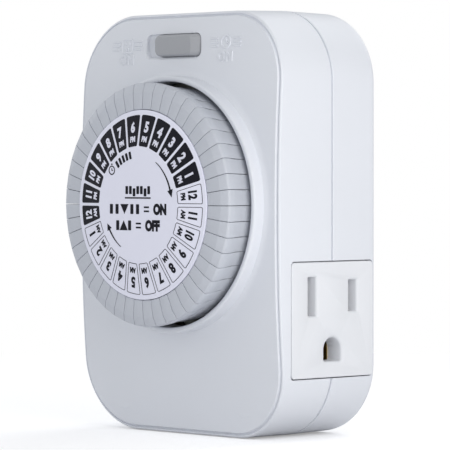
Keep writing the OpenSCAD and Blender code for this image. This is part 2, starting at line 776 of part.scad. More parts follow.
// From the fixed contact down to the rear right clip and across to the front left clip
module line_busbar_out() color(copper_red) upright() {
    span([out_bar_x - bar_w / 2, slot_y - clip_h / 2, out_bar_z],
        [out_bar_x + bar_w / 2, meeting_y + button_r, out_bar_z + bar_t]);
    span([out_bar_x, meeting_y - button_r, out_bar_z],
        [lever_x + button_r, meeting_y + button_r, out_bar_z + bar_t]);
    span([out_bar_x, slot_y - clip_h / 2, out_bar_z], [clip_start, slot_y + clip_h / 2, out_bar_z + bar_t]);
    span([clip_start - bar_t, slot_y - clip_h / 2, rear_slot_z - clip_reach],
        [clip_start, slot_y + clip_h / 2, out_bar_z + bar_t]);
    span([-clip_start, crossing_y, out_bar_z], [out_bar_x, crossing_y + crossing_w, out_bar_z + bar_t]);
    span([-clip_start, crossing_y, out_bar_z],
        [bar_t - clip_start, crossing_y + crossing_w, front_slot_z + clip_reach]);
    span([-clip_start, slot_y - clip_h / 2, front_slot_z - clip_reach],
        [bar_t - clip_start, crossing_y + crossing_w, front_slot_z + clip_reach]);
}

// From the line blade up, across and forward to the trip lever's pivot
module line_busbar_in() color(copper_red) upright() {
    bar_x = blade_pitch / 2;
    span([bar_x - bar_w / 2, blade_y - line_blade_w / 2, bar_z],
        [bar_x + bar_w / 2, pivot_y, bar_z + bar_t]);
    span([bar_x, pivot_y - bar_w, bar_z], [riser_x + bar_t, pivot_y, bar_z + bar_t]);
    span([riser_x, pivot_y - bar_w, bar_z], [riser_x + bar_t, pivot_y, tab_z]);
    span([lever_x - strip_w / 2, pivot_y - bar_w, tab_z - bar_t], [riser_x + bar_t, pivot_y, tab_z]);
}

// From the ground pin's foot down and out to both ground clips
module ground_busbar() color(copper_red) upright() {
    reach = ground_clip_gap / 2 + clip_t;
    span([-bar_w / 2, outlet_ground_y - bar_w / 2, ground_bar_z],
        [bar_w / 2, bar_w / 2, ground_bar_z + bar_t]);
    span([-clip_start, outlet_ground_y - clip_h / 2, ground_bar_z],
        [clip_start, outlet_ground_y + clip_h / 2, ground_bar_z + bar_t]);
    for (side = [0, 1]) mirror([side, 0, 0])
        span([clip_start - bar_t, outlet_ground_y - clip_h / 2, ground_bar_z],
            [clip_start, outlet_ground_y + clip_h / 2, outlet_z + reach]);
}

// ---- Dial ----

// The drum: front disc, cup, stepped hub and slotted guide ring
module dial_drum() color(dial_grey) upright() translate([0, dial_y, 0]) difference() {
    union() {
        translate([0, 0, disc_z - disc_t]) cylinder(h = disc_t, r = cup_r);
        difference() {
            translate([0, 0, ring_z + ring_t]) cylinder(h = disc_z - disc_t - ring_z - ring_t, r = cup_r);
            translate([0, 0, ring_z]) cylinder(h = disc_z - disc_t - ring_z, r = cup_r - cup_t);
        }
        translate([0, 0, ring_z]) linear_extrude(ring_t) difference() {
            circle(ring_r);
            circle(cup_r - cup_t);
            for (k = [0:pin_count - 1]) rotate((k + 0.5) * pin_pitch)
                translate([stem_in_r - stem_gap, -stem_w / 2 - stem_gap])
                    square([stem_d + 2 * stem_gap, stem_w + 2 * stem_gap]);
        }
        translate([0, 0, hub_z]) cylinder(h = disc_z - disc_t - hub_z + cut / 2, r = hub_r);
        translate([0, 0, gear_z + gear_t])
            cylinder(h = disc_z - disc_t - gear_z - gear_t + cut / 2, r = hub_r + hub_step);
    }
    translate([0, 0, hub_z - cut]) cylinder(h = disc_z - hub_z + 2 * cut, r = axle_r + run_gap);
    translate([0, 0, bore_floor_z]) cylinder(h = disc_z - bore_floor_z + cut, r = washer_r + washer_gap);
}

// The gear on the back of the drum's hub, against its step
module dial_gear() color(inner_grey) upright() translate([0, dial_y, gear_z]) difference() {
    rotate(pinion_turn) linear_extrude(gear_t) polygon(gear_points(dial_teeth));
    translate([0, 0, -cut]) cylinder(h = gear_t + 2 * cut, r = hub_r + slip);
}

module dial_label() color(label_white) upright() translate([0, dial_y, disc_z])
    cylinder(h = label_t, r = label_r);

module dial_retainer() color(steel_grey) upright() translate([0, dial_y, axle_tip_z]) {
    cylinder(h = washer_t, r = washer_r);
    translate([0, 0, -retainer_l]) cylinder(h = retainer_l + washer_t / 2, r = screw_r);
}

// The space of one pin: a wedge whose sides keep half the gap from the lines between the pins
module pin_wedge(k) {
    a = k * pin_pitch;
    far = 2 * pin_out_r;
    apex = pin_gap / 2 / sin(pin_pitch / 2);
    tip = apex * [cos(a + pin_pitch / 2), sin(a + pin_pitch / 2)];
    linear_extrude(2 * label_z) polygon([
        tip, tip + far * [cos(a), sin(a)], tip + far * [cos(a + pin_pitch), sin(a + pin_pitch)]]);
}

// A pin head's section along the radius
module head_section() polygon([
    [pin_in_r, head_z0], [pin_in_r, head_top_z], [pin_out_r - bevel_in, bevel_z],
    [pin_out_r - bevel_out, bevel_z - 2 * bevel_out], [pin_out_r, bevel_z - pin_bevel],
    [pin_out_r - pin_taper, head_z0]]);

module trip_pin(k) {
    intersection() {
        rotate_extrude() head_section();
        pin_wedge(k);
    }
    rotate((k + 0.5) * pin_pitch) translate([stem_in_r, -stem_w / 2, stem_z0])
        cube([stem_d, stem_w, stem_l + cut]);
}

// The two half-hour pins of one hour, noon and midnight being at the dial's right and left
module hour_pins(h) color(dial_grey) upright() translate([0, dial_y, 0])
    for (half = [0, 1]) trip_pin((2 * (h + HOURS / 2) + half) % pin_count);

// ---- Frame and drive ----

module mechanism_frame() color(inner_grey) upright() difference() {
    union() {
        translate([0, 0, frame_back]) linear_extrude(frame_t) {
            translate([0, (frame_high_y + frame_low_y) / 2])
                rounded(2 * frame_half_w, frame_high_y - frame_low_y, frame_r);
            translate([-leg_half_w, base_y + leg_low])
                square([2 * leg_half_w, frame_low_y - base_y - leg_low + cut]);
        }
        translate([0, dial_y, frame_back]) cylinder(h = shoulder_z - frame_back, r = hub_r);
        translate([0, dial_y, frame_back]) cylinder(h = axle_tip_z - frame_back, r = axle_r);
        for (side = [-1, 1]) translate([motor_x + side * ear_reach, motor_y, gearbox_z])
            cylinder(h = gearbox_l + frame_t / 2, r = ear_r);
        for (side = [-1, 1]) translate([lever_x + side * (lever_w + ear_gap * 2 + ear_w) / 2, pivot_y, 0])
            translate([-ear_w / 2, -pivot_boss_r, pivot_z - pivot_boss_r])
                cube([ear_w, 2 * pivot_boss_r, pivot_boss_r + pivot_back + frame_t / 2]);
        span([block_x, meeting_y - button_r, fixed_z],
            [block_x + block_w, meeting_y + button_r, frame_back + frame_t / 2]);
    }
    for (p = frame_screws) translate([p.x, p.y, frame_back - cut])
        cylinder(h = frame_t + 2 * cut, r = screw_r + slip);
    for (side = [-1, 1]) translate([motor_x + side * ear_reach, motor_y, gearbox_z - cut])
        cylinder(h = gearbox_l + cut - 1, r = motor_screw_r + pilot_gap);
    translate([pinion_x, pinion_y, frame_back - cut])
        cylinder(h = frame_t + 2 * cut, r = shaft_r + run_gap);
    translate([0, dial_y, axle_tip_z - retainer_l - slip])
        cylinder(h = retainer_l + slip + cut, r = screw_r + pilot_gap);
    span([nose_x - hole_half_w, nose_y - hole_down, frame_back - cut],
        [nose_x + hole_half_w, nose_y + hole_up, frame_front + cut]);
    translate([lever_x, pivot_y, pivot_z]) rotate([0, 90, 0])
        cylinder(h = 3 * lever_w, r = pivot_r + 0.02, center = true);
}

// Three screws that hold the frame and two that hold the motor
module mechanism_screws() color(steel_grey) upright() {
    for (p = frame_screws) translate([p.x, p.y, frame_back]) {
        translate([0, 0, -screw_head_h]) cylinder(h = screw_head_h, r = screw_head_r);
        translate([0, 0, -cut]) cylinder(h = cut + frame_screw_l, r = screw_r);
    }
    for (side = [-1, 1]) translate([motor_x + side * ear_reach, motor_y, gearbox_z - ear_t]) {
        translate([0, 0, -motor_head_h]) cylinder(h = motor_head_h, r = 2 * motor_screw_r);
        translate([0, 0, -motor_head_h / 2])
            cylinder(h = motor_head_h / 2 + motor_screw_l, r = motor_screw_r);
    }
}

module gearbox_cover() color(inner_grey) upright() translate([motor_x, motor_y, gearbox_z]) difference() {
    cylinder(h = gearbox_l, r = can_r);
    translate([0, 0, gearbox_t]) cylinder(h = gearbox_l, r = can_r - gearbox_t);
    translate([0, 0, -cut]) cylinder(h = gearbox_t + 2 * cut, r = rotor_shaft_r + run_gap);
}

module motor_can() color(steel_grey) upright() translate([motor_x, motor_y, can_z]) difference() {
    union() {
        cylinder(h = can_l, r = can_r);
        translate([0, 0, can_l - ear_t]) linear_extrude(ear_t) for (side = [-1, 1]) {
            translate([side * ear_reach, 0]) circle(ear_r);
            translate([side * ear_reach / 2, 0]) square([ear_reach, 1.6 * ear_r], center = true);
        }
    }
    translate([0, 0, can_t]) cylinder(h = can_l, r = can_r - can_t);
    for (side = [-1, 1]) translate([side * ear_reach, 0, can_l - ear_t - cut])
        cylinder(h = ear_t + 2 * cut, r = motor_screw_r + slip);
}

module motor_winding() color(copper_red) upright() translate([motor_x, motor_y, can_z + can_t])
    difference() {
        cylinder(h = can_l - can_t - air_gap, r = can_r - can_t - slip);
        translate([0, 0, -cut]) cylinder(h = can_l + 2 * cut, r = rotor_r + air_gap);
    }

module motor_rotor() color(steel_grey) upright() translate([motor_x, motor_y, can_z + can_t]) {
    gear_at = can_l - can_t + gearbox_t + pinion_gap;
    translate([0, 0, rotor_lift]) cylinder(h = rotor_l, r = rotor_r);
    translate([0, 0, slip]) cylinder(h = gear_at + rotor_gear_t - slip + cut / 2, r = rotor_shaft_r);
    translate([0, 0, gear_at]) cylinder(h = rotor_gear_t, r = 2 * rotor_shaft_r);
}

// Two short insulated leads from the winding to the neutral and line busbars
module motor_leads() color(dial_grey) upright() {
    lead_z = bar_z + bar_t;
    lead_r = (can_z - lead_z - slip) / 2;
    translate([-blade_pitch / 2, neutral_bar_top - cut, lead_z])
        cylinder(h = can_z - lead_z, r = lead_r);
    translate([motor_x + lead_in, motor_y, lead_z + slip / 2 + lead_r]) rotate([0, 90, 0])
        cylinder(h = blade_pitch / 2 - motor_x - lead_in, r = lead_r);
}

module output_pinion() color(brass_gold) upright() translate([pinion_x, pinion_y, 0]) {
    translate([0, 0, gear_z]) rotate(pinion_turn + 180 + 180 / pinion_teeth)
        linear_extrude(gear_t) polygon(gear_points(pinion_teeth));
    foot_z = gearbox_z + gearbox_t + pinion_gap;
    translate([0, 0, frame_front + pinion_gap])
        cylinder(h = gear_z - frame_front - pinion_gap + cut / 2, r = 1.8 * shaft_r);
    translate([0, 0, foot_z]) cylinder(h = gear_z + gear_t + cut / 2 - foot_z, r = shaft_r);
    translate([0, 0, frame_back - pinion_gap - collet_t]) cylinder(h = collet_t, r = 2 * shaft_r);
}

// ---- Trip lever and contacts ----

module trip_lever() color(knob_grey) upright() difference() {
    union() {
        span([lever_x - lever_w / 2, lever_y, lever_back],
            [lever_x + lever_w / 2, pivot_y + 1 - neck_l, lever_front]);
        span([lever_x - lever_w / 2, pivot_y - neck_l, lever_back],
            [lever_x - lever_w / 2 + neck_w, pivot_y, lever_front]);
        translate([lever_x - lever_w / 2, pivot_y, pivot_z]) rotate([0, 90, 0])
            cylinder(h = neck_w, r = pivot_boss_r);
        translate([nose_x, nose_y, 0]) rotate(nose_turn) rotate([90, 0, 90])
            translate([0, 0, -nose_l / 2]) linear_extrude(nose_l) polygon([
                [-nose_w / 2, pivot_z], [nose_w / 2, pivot_z], [nose_w / 2, nose_tip_z - nose_taper],
                [nose_w / 5, nose_tip_z], [-nose_w / 5, nose_tip_z],
                [-nose_w / 2, nose_tip_z - nose_taper]]);
    }
    translate([lever_x - lever_w, pivot_y, pivot_z]) rotate([0, 90, 0])
        cylinder(h = 2 * lever_w, r = pivot_r + run_gap);
}

module lever_pin() color(steel_grey) upright() translate([lever_x, pivot_y, pivot_z]) rotate([0, 90, 0])
    translate([0, 0, -lever_w / 2 - ear_gap - ear_w - pin_head_t]) {
        cylinder(h = lever_w + 2 * (ear_gap + ear_w + pin_head_t), r = pivot_r);
        cylinder(h = pin_head_t, r = 1.5 * pivot_r);
    }

// The coil of the return spring round the pivot pin, with a leg on the lever and one on the frame
module lever_spring() color(steel_grey) upright() translate([spring_x, pivot_y, pivot_z]) {
    outer = pivot_r + spring_gap + spring_wire;
    rotate([0, 90, 0]) difference() {
        cylinder(h = spring_l, r = outer);
        translate([0, 0, -cut]) cylinder(h = spring_l + 2 * cut, r = outer - spring_wire);
    }
    translate([0, -spring_wire / 2, outer - spring_wire / 2])
        cube([spring_wire, spring_wire, pivot_back - outer + spring_wire / 2 - spring_gap]);
    translate([spring_l - spring_wire, -spring_leg, lever_t / 2])
        cube([spring_wire, spring_leg - outer + spring_wire, spring_wire]);
}

module moving_contact() color(copper_red) upright() {
    span([lever_x - strip_w / 2, lever_y, lever_back - strip_t],
        [lever_x + strip_w / 2, pivot_y - pivot_boss_r - slip, lever_back]);
    translate([lever_x, button_y, lever_back - strip_t - button_t])
        cylinder(h = button_t + strip_t / 2, r = button_r);
}

module fixed_contact() color(copper_red) upright() {
    span([lever_x - strip_w / 2, meeting_y - button_r, fixed_z - strip_t],
        [block_x + block_w, meeting_y + button_r, fixed_z]);
    translate([lever_x, meeting_y, fixed_z - strip_t / 2])
        cylinder(h = button_t + strip_t / 2, r = button_r);
}

// ---- Override switch ----

// The knob's cap, with a long bevel on its right end and a short one on its left
module knob_cap() intersection() {
    translate([0, switch_y + switch_w, 0]) rotate([90, 0, 0]) linear_extrude(2 * switch_w) polygon([
        [knob_left, floor_z + slip], [knob_right, floor_z + slip],
        [knob_right, body_d - slip], [knob_right - knob_bevel, body_d + knob_proud],
        [knob_left + knob_proud, body_d + knob_proud], [knob_left, body_d]]);
    translate([knob_mid, switch_y, floor_z]) linear_extrude(recess_t + knob_proud + cut)
        rounded(knob_right - knob_left, switch_w - 2 * knob_gap, switch_r - knob_gap);
}

module override_knob() color(knob_grey) upright() {
    carrier_z = floor_z - floor_t - slip;
    knob_cap();
    span([knob_mid - stem_half_l, switch_y - stem_half_w, carrier_z - carrier_t / 2],
        [knob_mid + stem_half_l, switch_y + stem_half_w, floor_z + 2 * slip]);
    span([knob_mid - stem_half_l - carrier_lap, switch_y - stem_half_w - carrier_lap,
            carrier_z - carrier_t],
        [knob_mid + stem_half_l + carrier_lap, switch_y + stem_half_w + carrier_lap, carrier_z]);
    span([knob_mid - carrier_t, switch_y - stem_half_w, frame_front + carrier_t],
        [knob_mid + carrier_t, switch_y + stem_half_w, carrier_z - carrier_t / 2]);
}

front_housing();
rear_housing();
outlet_face_right();
outlet_face_left();
housing_screws();
override_knob();
dial_drum();
dial_gear();
dial_label();
dial_retainer();
mechanism_frame();
mechanism_screws();
gearbox_cover();
motor_can();
motor_winding();
motor_rotor();
motor_leads();
output_pinion();
trip_lever();
lever_pin();
lever_spring();
moving_contact();
fixed_contact();
line_blade();
neutral_blade();
ground_pin();
line_busbar_in();
line_busbar_out();
neutral_busbar();
ground_busbar();
hot_clip_right();
neutral_clip_right();
ground_clip_right();
hot_clip_left();
neutral_clip_left();
ground_clip_left();
for (h = [0:HOURS - 1]) hour_pins(h);
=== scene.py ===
import json
import math
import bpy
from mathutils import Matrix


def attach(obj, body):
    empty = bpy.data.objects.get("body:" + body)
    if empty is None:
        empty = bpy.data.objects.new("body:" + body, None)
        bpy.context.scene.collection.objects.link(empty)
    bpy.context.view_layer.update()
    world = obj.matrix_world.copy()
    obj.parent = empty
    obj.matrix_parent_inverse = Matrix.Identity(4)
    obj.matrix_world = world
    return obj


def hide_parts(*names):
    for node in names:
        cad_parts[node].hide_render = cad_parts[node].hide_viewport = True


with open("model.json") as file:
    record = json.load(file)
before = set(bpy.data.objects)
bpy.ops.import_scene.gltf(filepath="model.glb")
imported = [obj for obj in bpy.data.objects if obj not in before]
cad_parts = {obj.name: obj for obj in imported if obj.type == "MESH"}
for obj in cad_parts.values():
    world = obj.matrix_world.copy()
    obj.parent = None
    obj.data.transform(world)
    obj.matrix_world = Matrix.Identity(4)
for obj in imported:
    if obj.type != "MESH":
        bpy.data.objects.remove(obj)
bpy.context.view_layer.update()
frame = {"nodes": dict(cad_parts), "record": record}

import types

import bmesh
import bpy
import numpy as np
from mathutils import Matrix

bl_info = {
    "name": "Plug-in timer switch",
    "version": (1, 0, 0),
    "blender": (4, 5, 0),
    "location": "3D View > Sidebar > Timer",
    "description": "Builds the surfaces, finishes and studio of a plug-in timer switch",
    "category": "Add Mesh",
}

MM = 0.001
SMOOTH_TO = 38.0  # degrees between faces that are shaded as one surface
CAPITALS = 0.7  # height of the built-in font's capitals, before they are scaled
HOURS = 24
PINS = 48

# ---- Sizes and colours ----


def length(name, description, mm):
    """A size given in millimetres and kept in metres."""
    return bpy.props.FloatProperty(
        name=name, description=description, default=mm * MM, unit="LENGTH", precision=5)


def linear(level):
    """An 8-bit screen level as linear light: the power curve above a short straight start."""
    level /= 255
    return level / 12.92 if level <= 0.04045 else ((level + 0.055) / 1.055) ** 2.4


def colour(name, description, red, green, blue):
    """A colour given in 8-bit screen levels and kept in linear light."""
    return bpy.props.FloatVectorProperty(
        name=name, description=description, subtype="COLOR", size=3, min=0, max=1,
        default=(linear(red), linear(green), linear(blue)))


class HousingSizes(bpy.types.PropertyGroup):
    """Sizes of the front and rear shells."""
    half_width: length("Half width", "From the middle to the side, at the seam", 33.08)
    half_height: length("Half height", "From the middle to the top, at the seam", 47.7)
    middle: length("Middle height", "Height of the middle above the ground pin", -0.3)
    corner: length("Corner radius", "Radius of the four corners", 16.3)
    seam: length("Seam depth", "Distance of the seam from the wall", 15.16)
    seam_gap: length("Seam gap", "Width and depth of the groove at the seam", 0.5)
    front: length("Front depth", "Distance of the face's ends from the wall", 29.0)
    crown: length("Crown", "How far the face bulges", 2.6)
    crest: length("Crest height", "Height of the bulge's top above the ground pin", 2.0)
    lean: length("Front lean", "How much each side leans in from the seam to the front", 0.06)
    droop: length("Droop", "How much the top sinks from the seam to the front", 0.3)
    rear_lean: length("Rear lean", "How much each side leans in from the seam to the wall", 0.28)
    wall: length("Wall", "Thickness of the walls", 2.2)
    edge: length("Front edge", "Radius of the front edge", 0.45)
    step: length("Face step", "Height of the face above its border", 0.36)
    groove: length("Groove", "Width and depth of the groove round the face", 0.5)
    slope: length("Step slope", "Width of the sloped step", 0.16)
    rear_edge: length("Rear edge", "Radius of the rear edge", 2.4)
    lip: length("Lip", "Thickness of the lip inside the seam", 0.9)
    lip_height: length("Lip height", "Height of the lip inside the seam", 1.2)
    collar_inside: length("Collar inside", "Inner radius of the collar round the dial", 27.65)
    collar_wall: length("Collar wall", "Thickness of the collar", 1.3)
    collar_top: length("Collar top", "Distance of the collar's lip from the wall", 34.86)
    flare: length("Collar flare", "Width of the sweep at the collar's foot", 1.6)
    flare_height: length("Flare height", "Height of the sweep at the collar's foot", 0.4)
    skirt: length("Collar skirt", "Distance of the collar's inner end from the wall", 27.4)


class DialSizes(bpy.types.PropertyGroup):
    """Sizes of the dial, its pins and its label."""
    height: length("Axis height", "Height of the dial's axis above the ground pin", 3.9)
    label: length("Label depth", "Distance of the label from the wall", 41.93)
    label_radius: length("Label radius", "Radius of the label", 21.2)
    label_rise: length("Label rise", "Height of the label's flat middle over its rim", 1.15)
    slope_inside: length("Slope inside", "Radius where the label's slope starts", 12.9)
    slope_outside: length("Slope outside", "Radius where the label's slope ends", 20.5)
    label_thickness: length("Label thickness", "Thickness of the label", 0.4)
    pin_inside: length("Pin inside", "Radius of the pins' inner faces", 21.3)
    pin_outside: length("Pin outside", "Radius of the pins' outer faces", 27.3)
    pin_gap: length("Pin gap", "Gap between neighbouring pins", 0.13)
    pin_top: length("Pin top", "Distance of the pins' inner edge from the wall", 41.75)
    pin_foot: length("Pin foot", "Distance of the pin heads' feet from the wall", 34.0)
    skirt_end: length("Pin skirt", "Distance of the pins' skirt ends from the wall", 32.6)
    pin_round: length("Pin edge", "Radius of the pins' edges", 0.07)
    stem_end: length("Stem end", "Distance of the pin stems' ends from the wall", 27.8)
    cell_outside: length("Cell outside", "Outer radius of the hour cells", 20.1)
    cell_inside: length("Cell inside", "Inner radius of the hour cells", 13.1)
    cell_gap: length("Cell gap", "Gap between neighbouring hour cells", 0.65)
    ink: length("Ink", "Thickness of the print", 0.04)


class SwitchSizes(bpy.types.PropertyGroup):
    """Sizes of the slide switch above the dial."""
    middle: length("Middle", "Sideways place of the opening", -2.4)
    height: length("Height", "Height of the opening above the ground pin", 39.8)
    half_length: length("Half length", "Half the length of the opening", 9.05)
    half_width: length("Half width", "Half the width of the opening", 2.65)
    radius: length("Corner radius", "Corner radius of the opening", 1.5)
    floor: length("Floor depth", "Distance of the recess floor from the wall", 29.1)
    knob: length("Knob length", "Length of the knob", 14.3)
    gap: length("Gap", "Gap round the knob", 0.15)
    top: length("Knob top", "Distance of the knob's top from the wall", 31.2)
    bevel: length("Knob chamfer", "Length of the chamfer at the knob's right-hand end", 2.0)


class OutletSizes(bpy.types.PropertyGroup):
    """Sizes of the outlet plates on both sides."""
    face: length("Face", "Distance of the plate's face from the middle", 33.1)
    near: length("Near edge", "Distance of the plate's rear edge from the wall", 1.7)
    far: length("Far edge", "Distance of the plate's front edge from the wall", 27.7)
    low: length("Low edge", "Height of the plate's lower edge", -34.5)
    high: length("High edge", "Height of the plate's upper edge", -8.4)
    gap: length("Gap", "Gap round the plate", 0.24)
    flange: length("Flange", "Thickness of the flange behind the plate", 2.4)
    slot_height: length("Slot height", "Height of the blade slots' middle", -16.26)
    ground_height: length("Ground height", "Height of the ground hole's middle", -28.16)
    middle: length("Middle depth", "Distance of the ground hole from the wall", 14.53)
    pitch: length("Pitch", "Distance between the blade slots", 12.7)
    slot_width: length("Slot width", "Width of the blade slots", 2.4)
    neutral: length("Long slot", "Length of the longer slot", 8.6)
    line: length("Short slot", "Length of the shorter slot", 7.0)
    mouth: length("Mouth", "Width of the sloped mouths", 0.7)


class FinishColours(bpy.types.PropertyGroup):
    """Colours of the finishes."""
    housing: colour("Housing", "Moulded plastic of both shells", 224, 227, 234)
    outlet: colour("Outlet", "Moulded plastic of the outlet plates", 226, 228, 233)
    dial: colour("Dial", "Moulded plastic of the dial and its pins", 195, 199, 208)
    knob: colour("Knob", "Moulded plastic of the slide switch", 166, 168, 173)
    label: colour("Label", "Film of the dial's label", 234, 235, 250)
    ink: colour("Ink", "Dark print on the label", 20, 20, 31)
    inner: colour("Inner plastic", "Moulded plastic inside the housing", 206, 206, 198)
    jacket: colour("Lead jacket", "Insulation of the motor's leads", 190, 190, 196)
    brass: colour("Brass", "Plug blades, pin and contact clips", 208, 178, 110)
    copper: colour("Copper", "Busbars, contacts and winding", 200, 128, 88)
    steel: colour("Steel", "Screws, pins and the motor's can", 176, 177, 181)


GROUPS = {"housing": HousingSizes, "dial": DialSizes, "switch": SwitchSizes,
          "outlet": OutletSizes, "colours": FinishColours}


def sizes(name):
    """The lengths of one of the scene's groups in millimetres, by name."""
    group = getattr(bpy.context.scene, "timer_" + name)
    return types.SimpleNamespace(
        **{key: getattr(group, key) / MM for key in type(group).__annotations__})


# ---- Surfaces, as (points, four-sided faces, other faces) ----


def to_row(across, up, out):
    """Row-frame points in metres from millimetres across, up and out from the wall."""
    across, up, out = np.broadcast_arrays(across, up, out)
    return np.stack([across, -out, up], axis=-1) * MM


def loft(rings, loop=False):
    """A skin over rings of equal length: point j of ring i joins point j of ring i + 1, round
    each ring. The end rings become flat faces, unless the last ring joins the first."""
    rings = np.asarray(rings, dtype=float)
    count, size = rings.shape[:2]
    i = np.arange(count if loop else count - 1)[:, None]
    j = np.arange(size)[None, :]
    here, there = i * size, (i + 1) % count * size
    side = (j + 1) % size
    quads = np.stack([here + j, here + side, there + side, there + j], -1).reshape(-1, 4)
    ends = [] if loop else [np.arange(size)[::-1], np.arange(size) + (count - 1) * size]
    return rings.reshape(-1, 3), quads, ends


def joined(shapes):
    """Several shapes as one, each one's point numbers moved on past those before it."""
    starts = np.cumsum([0] + [len(points) for points, _, _ in shapes])
    return (np.concatenate([points for points, _, _ in shapes]),
            np.concatenate([np.reshape(quads, (-1, 4)) + start
                            for (_, quads, _), start in zip(shapes, starts)]).astype(int),
            [face + start for (_, _, others), start in zip(shapes, starts) for face in others])


def rounded(half_wide, half_tall, radius, corner=8, wide=1, tall=1):
    """Points and outward directions round a rectangle with round corners, anticlockwise: four
    quarter circles about the corners' centres, joined by straight runs."""
    centres = np.array([[1, 1], [-1, 1], [-1, -1], [1, -1]]) \
        * [half_wide - radius, half_tall - radius]
    spine, way = [], []
    for k, run in enumerate((wide, tall, wide, tall)):
        turn = np.pi / 2 * (k + np.arange(corner) / corner)
        spine.append(np.tile(centres[k], (corner, 1)))
        way.append(np.c_[np.cos(turn), np.sin(turn)])
        share = np.arange(run)[:, None] / run
        spine.append(centres[k] * (1 - share) + centres[(k + 1) % 4] * share)
        way.append(np.tile([np.cos(np.pi / 2 * (k + 1)), np.sin(np.pi / 2 * (k + 1))], (run, 1)))
    way = np.concatenate(way)
    return np.concatenate(spine) + radius * way, way


def rounded_polygon(corners, radii, steps=4):
    """Points and outward directions round a polygon, anticlockwise. Each corner is an arc whose
    centre lies radius / (1 + cos turn) times the sum of both edges' normals in from it."""
    corners, radii = np.asarray(corners, float), np.asarray(radii, float)
    before = corners - np.roll(corners, 1, 0)
    after = np.roll(corners, -1, 0) - corners
    start = np.arctan2(before[:, 1], before[:, 0]) - np.pi / 2
    end = np.arctan2(after[:, 1], after[:, 0]) - np.pi / 2
    turn = (end - start + np.pi) % (2 * np.pi) - np.pi
    normals = np.c_[np.cos(start) + np.cos(end), np.sin(start) + np.sin(end)]
    centres = corners - normals * (radii / (1 + np.cos(turn)))[:, None]
    angle = start[:, None] + turn[:, None] * np.linspace(0, 1, steps + 1)
    way = np.stack([np.cos(angle), np.sin(angle)], -1)
    points = centres[:, None] + radii[:, None, None] * way
    keep = (radii[:, None] > 0) | (np.arange(steps + 1) == 0)
    return points[keep], way[keep]


def arc(start, end, count):
    """Cosines and sines of equal steps from one angle to another, in degrees."""
    angle = np.radians(np.linspace(start, end, count))
    return list(zip(np.cos(angle), np.sin(angle)))


def soft_sweep(soft, count):
    """Steps of a straight sweep with round ends, as side, reach past the straight run and inset:
    a quarter circle before the run and one after it."""
    return [(side, soft * s, soft * (1 - c)) for side, start in ((-1, -90), (1, 0))
            for c, s in arc(start, start + 90, count)]


def unit_circle(count=48):
    """Points round a circle of radius 1, anticlockwise from the right."""
    turn = np.linspace(0, 2 * np.pi, count, endpoint=False)
    return np.c_[np.cos(turn), np.sin(turn)]


def upright_block(outline, levels, middle=(0, 0)):
    """A block along the depth: the outline shrunk by each level's inset at its distance out."""
    points, way = outline
    return loft([to_row(*(points - inset * way + middle).T, out) for inset, out in levels])


def turned(profile, middle, count=40):
    """A solid turned about an axis along the depth, from pairs of radius and distance out."""
    circle = unit_circle(count)
    return loft([to_row(*(np.asarray(middle) + r * circle).T, out) for r, out in profile])


def sideways_block(outline, levels, middle, side):
    """A block along the width, on the side +1 or -1: the outline, drawn as distance out and
    height, grown by each level's spread at its distance from the middle."""
    points, way = outline
    place = points[None] + np.array([spread for spread, _ in levels])[:, None, None] * way + middle
    across = side * np.array([across for _, across in levels])[:, None]
    return loft(to_row(across, place[..., 1], place[..., 0]))


def ridge(path, radius, closed=True, sides=8):
    """A round ridge along a flat path: at each point a circle across the path, whose centre is
    the point. Returns across, up and lift with the faces."""
    path = np.asarray(path, float)
    ahead = np.roll(path, -1, 0) - np.roll(path, 1, 0)
    if not closed:
        ahead[0], ahead[-1] = path[1] - path[0], path[-1] - path[-2]
    ahead /= np.linalg.norm(ahead, axis=1)[:, None]
    aside, above = unit_circle(sides).T * radius
    cross = np.stack([-ahead[:, 1], ahead[:, 0]], -1)[:, None] * aside[None, :, None]
    lift = np.broadcast_to(above, cross.shape[:2])
    rings = np.concatenate([path[:, None] + cross, lift[..., None]], -1)
    return loft(rings, loop=closed)


def lettering(words, height, squeeze=1.0, weight=0.0, hollow=0.0):
    """Lettering scaled to a height about its own middle, as across, up and lift with the faces:
    solid letters whose lift goes from 0 to 1, or hollow ones drawn by a round ridge."""
    curve = bpy.data.curves.new("lettering", "FONT")
    curve.body, curve.resolution_u, curve.offset = words, 3, weight
    if hollow:
        curve.fill_mode, curve.bevel_resolution = "NONE", 1
        curve.bevel_depth = hollow / height * CAPITALS
    else:
        curve.extrude = 0.5
    holder = bpy.data.objects.new("lettering", curve)
    bpy.context.scene.collection.objects.link(holder)
    depsgraph = bpy.context.evaluated_depsgraph_get()
    mesh = bpy.data.meshes.new_from_object(holder.evaluated_get(depsgraph))
    points = np.empty(len(mesh.vertices) * 3)
    mesh.vertices.foreach_get("co", points)
    points = points.reshape(-1, 3)
    faces = [np.array(face.vertices) for face in mesh.polygons]
    bpy.data.meshes.remove(mesh)
    bpy.data.objects.remove(holder)
    bpy.data.curves.remove(curve)
    low, high = points.min(0), points.max(0)
    scale = height / (high[1] - low[1])
    points[:, :2] = (points[:, :2] - (low[:2] + high[:2]) / 2) * scale * [squeeze, 1]
    points[:, 2] = points[:, 2] * scale if hollow else points[:, 2] + 0.5
    return points, np.empty((0, 4), int), faces


# ---- Pieces ----


def new_mesh(name, shape):
    """A mesh whose doubles are merged and whose faces point outwards."""
    points, quads, others = shape
    mesh = bpy.data.meshes.new(name)
    mesh.from_pydata(points.tolist(), [], quads.tolist() + [face.tolist() for face in others])
    return tidy_mesh(mesh)


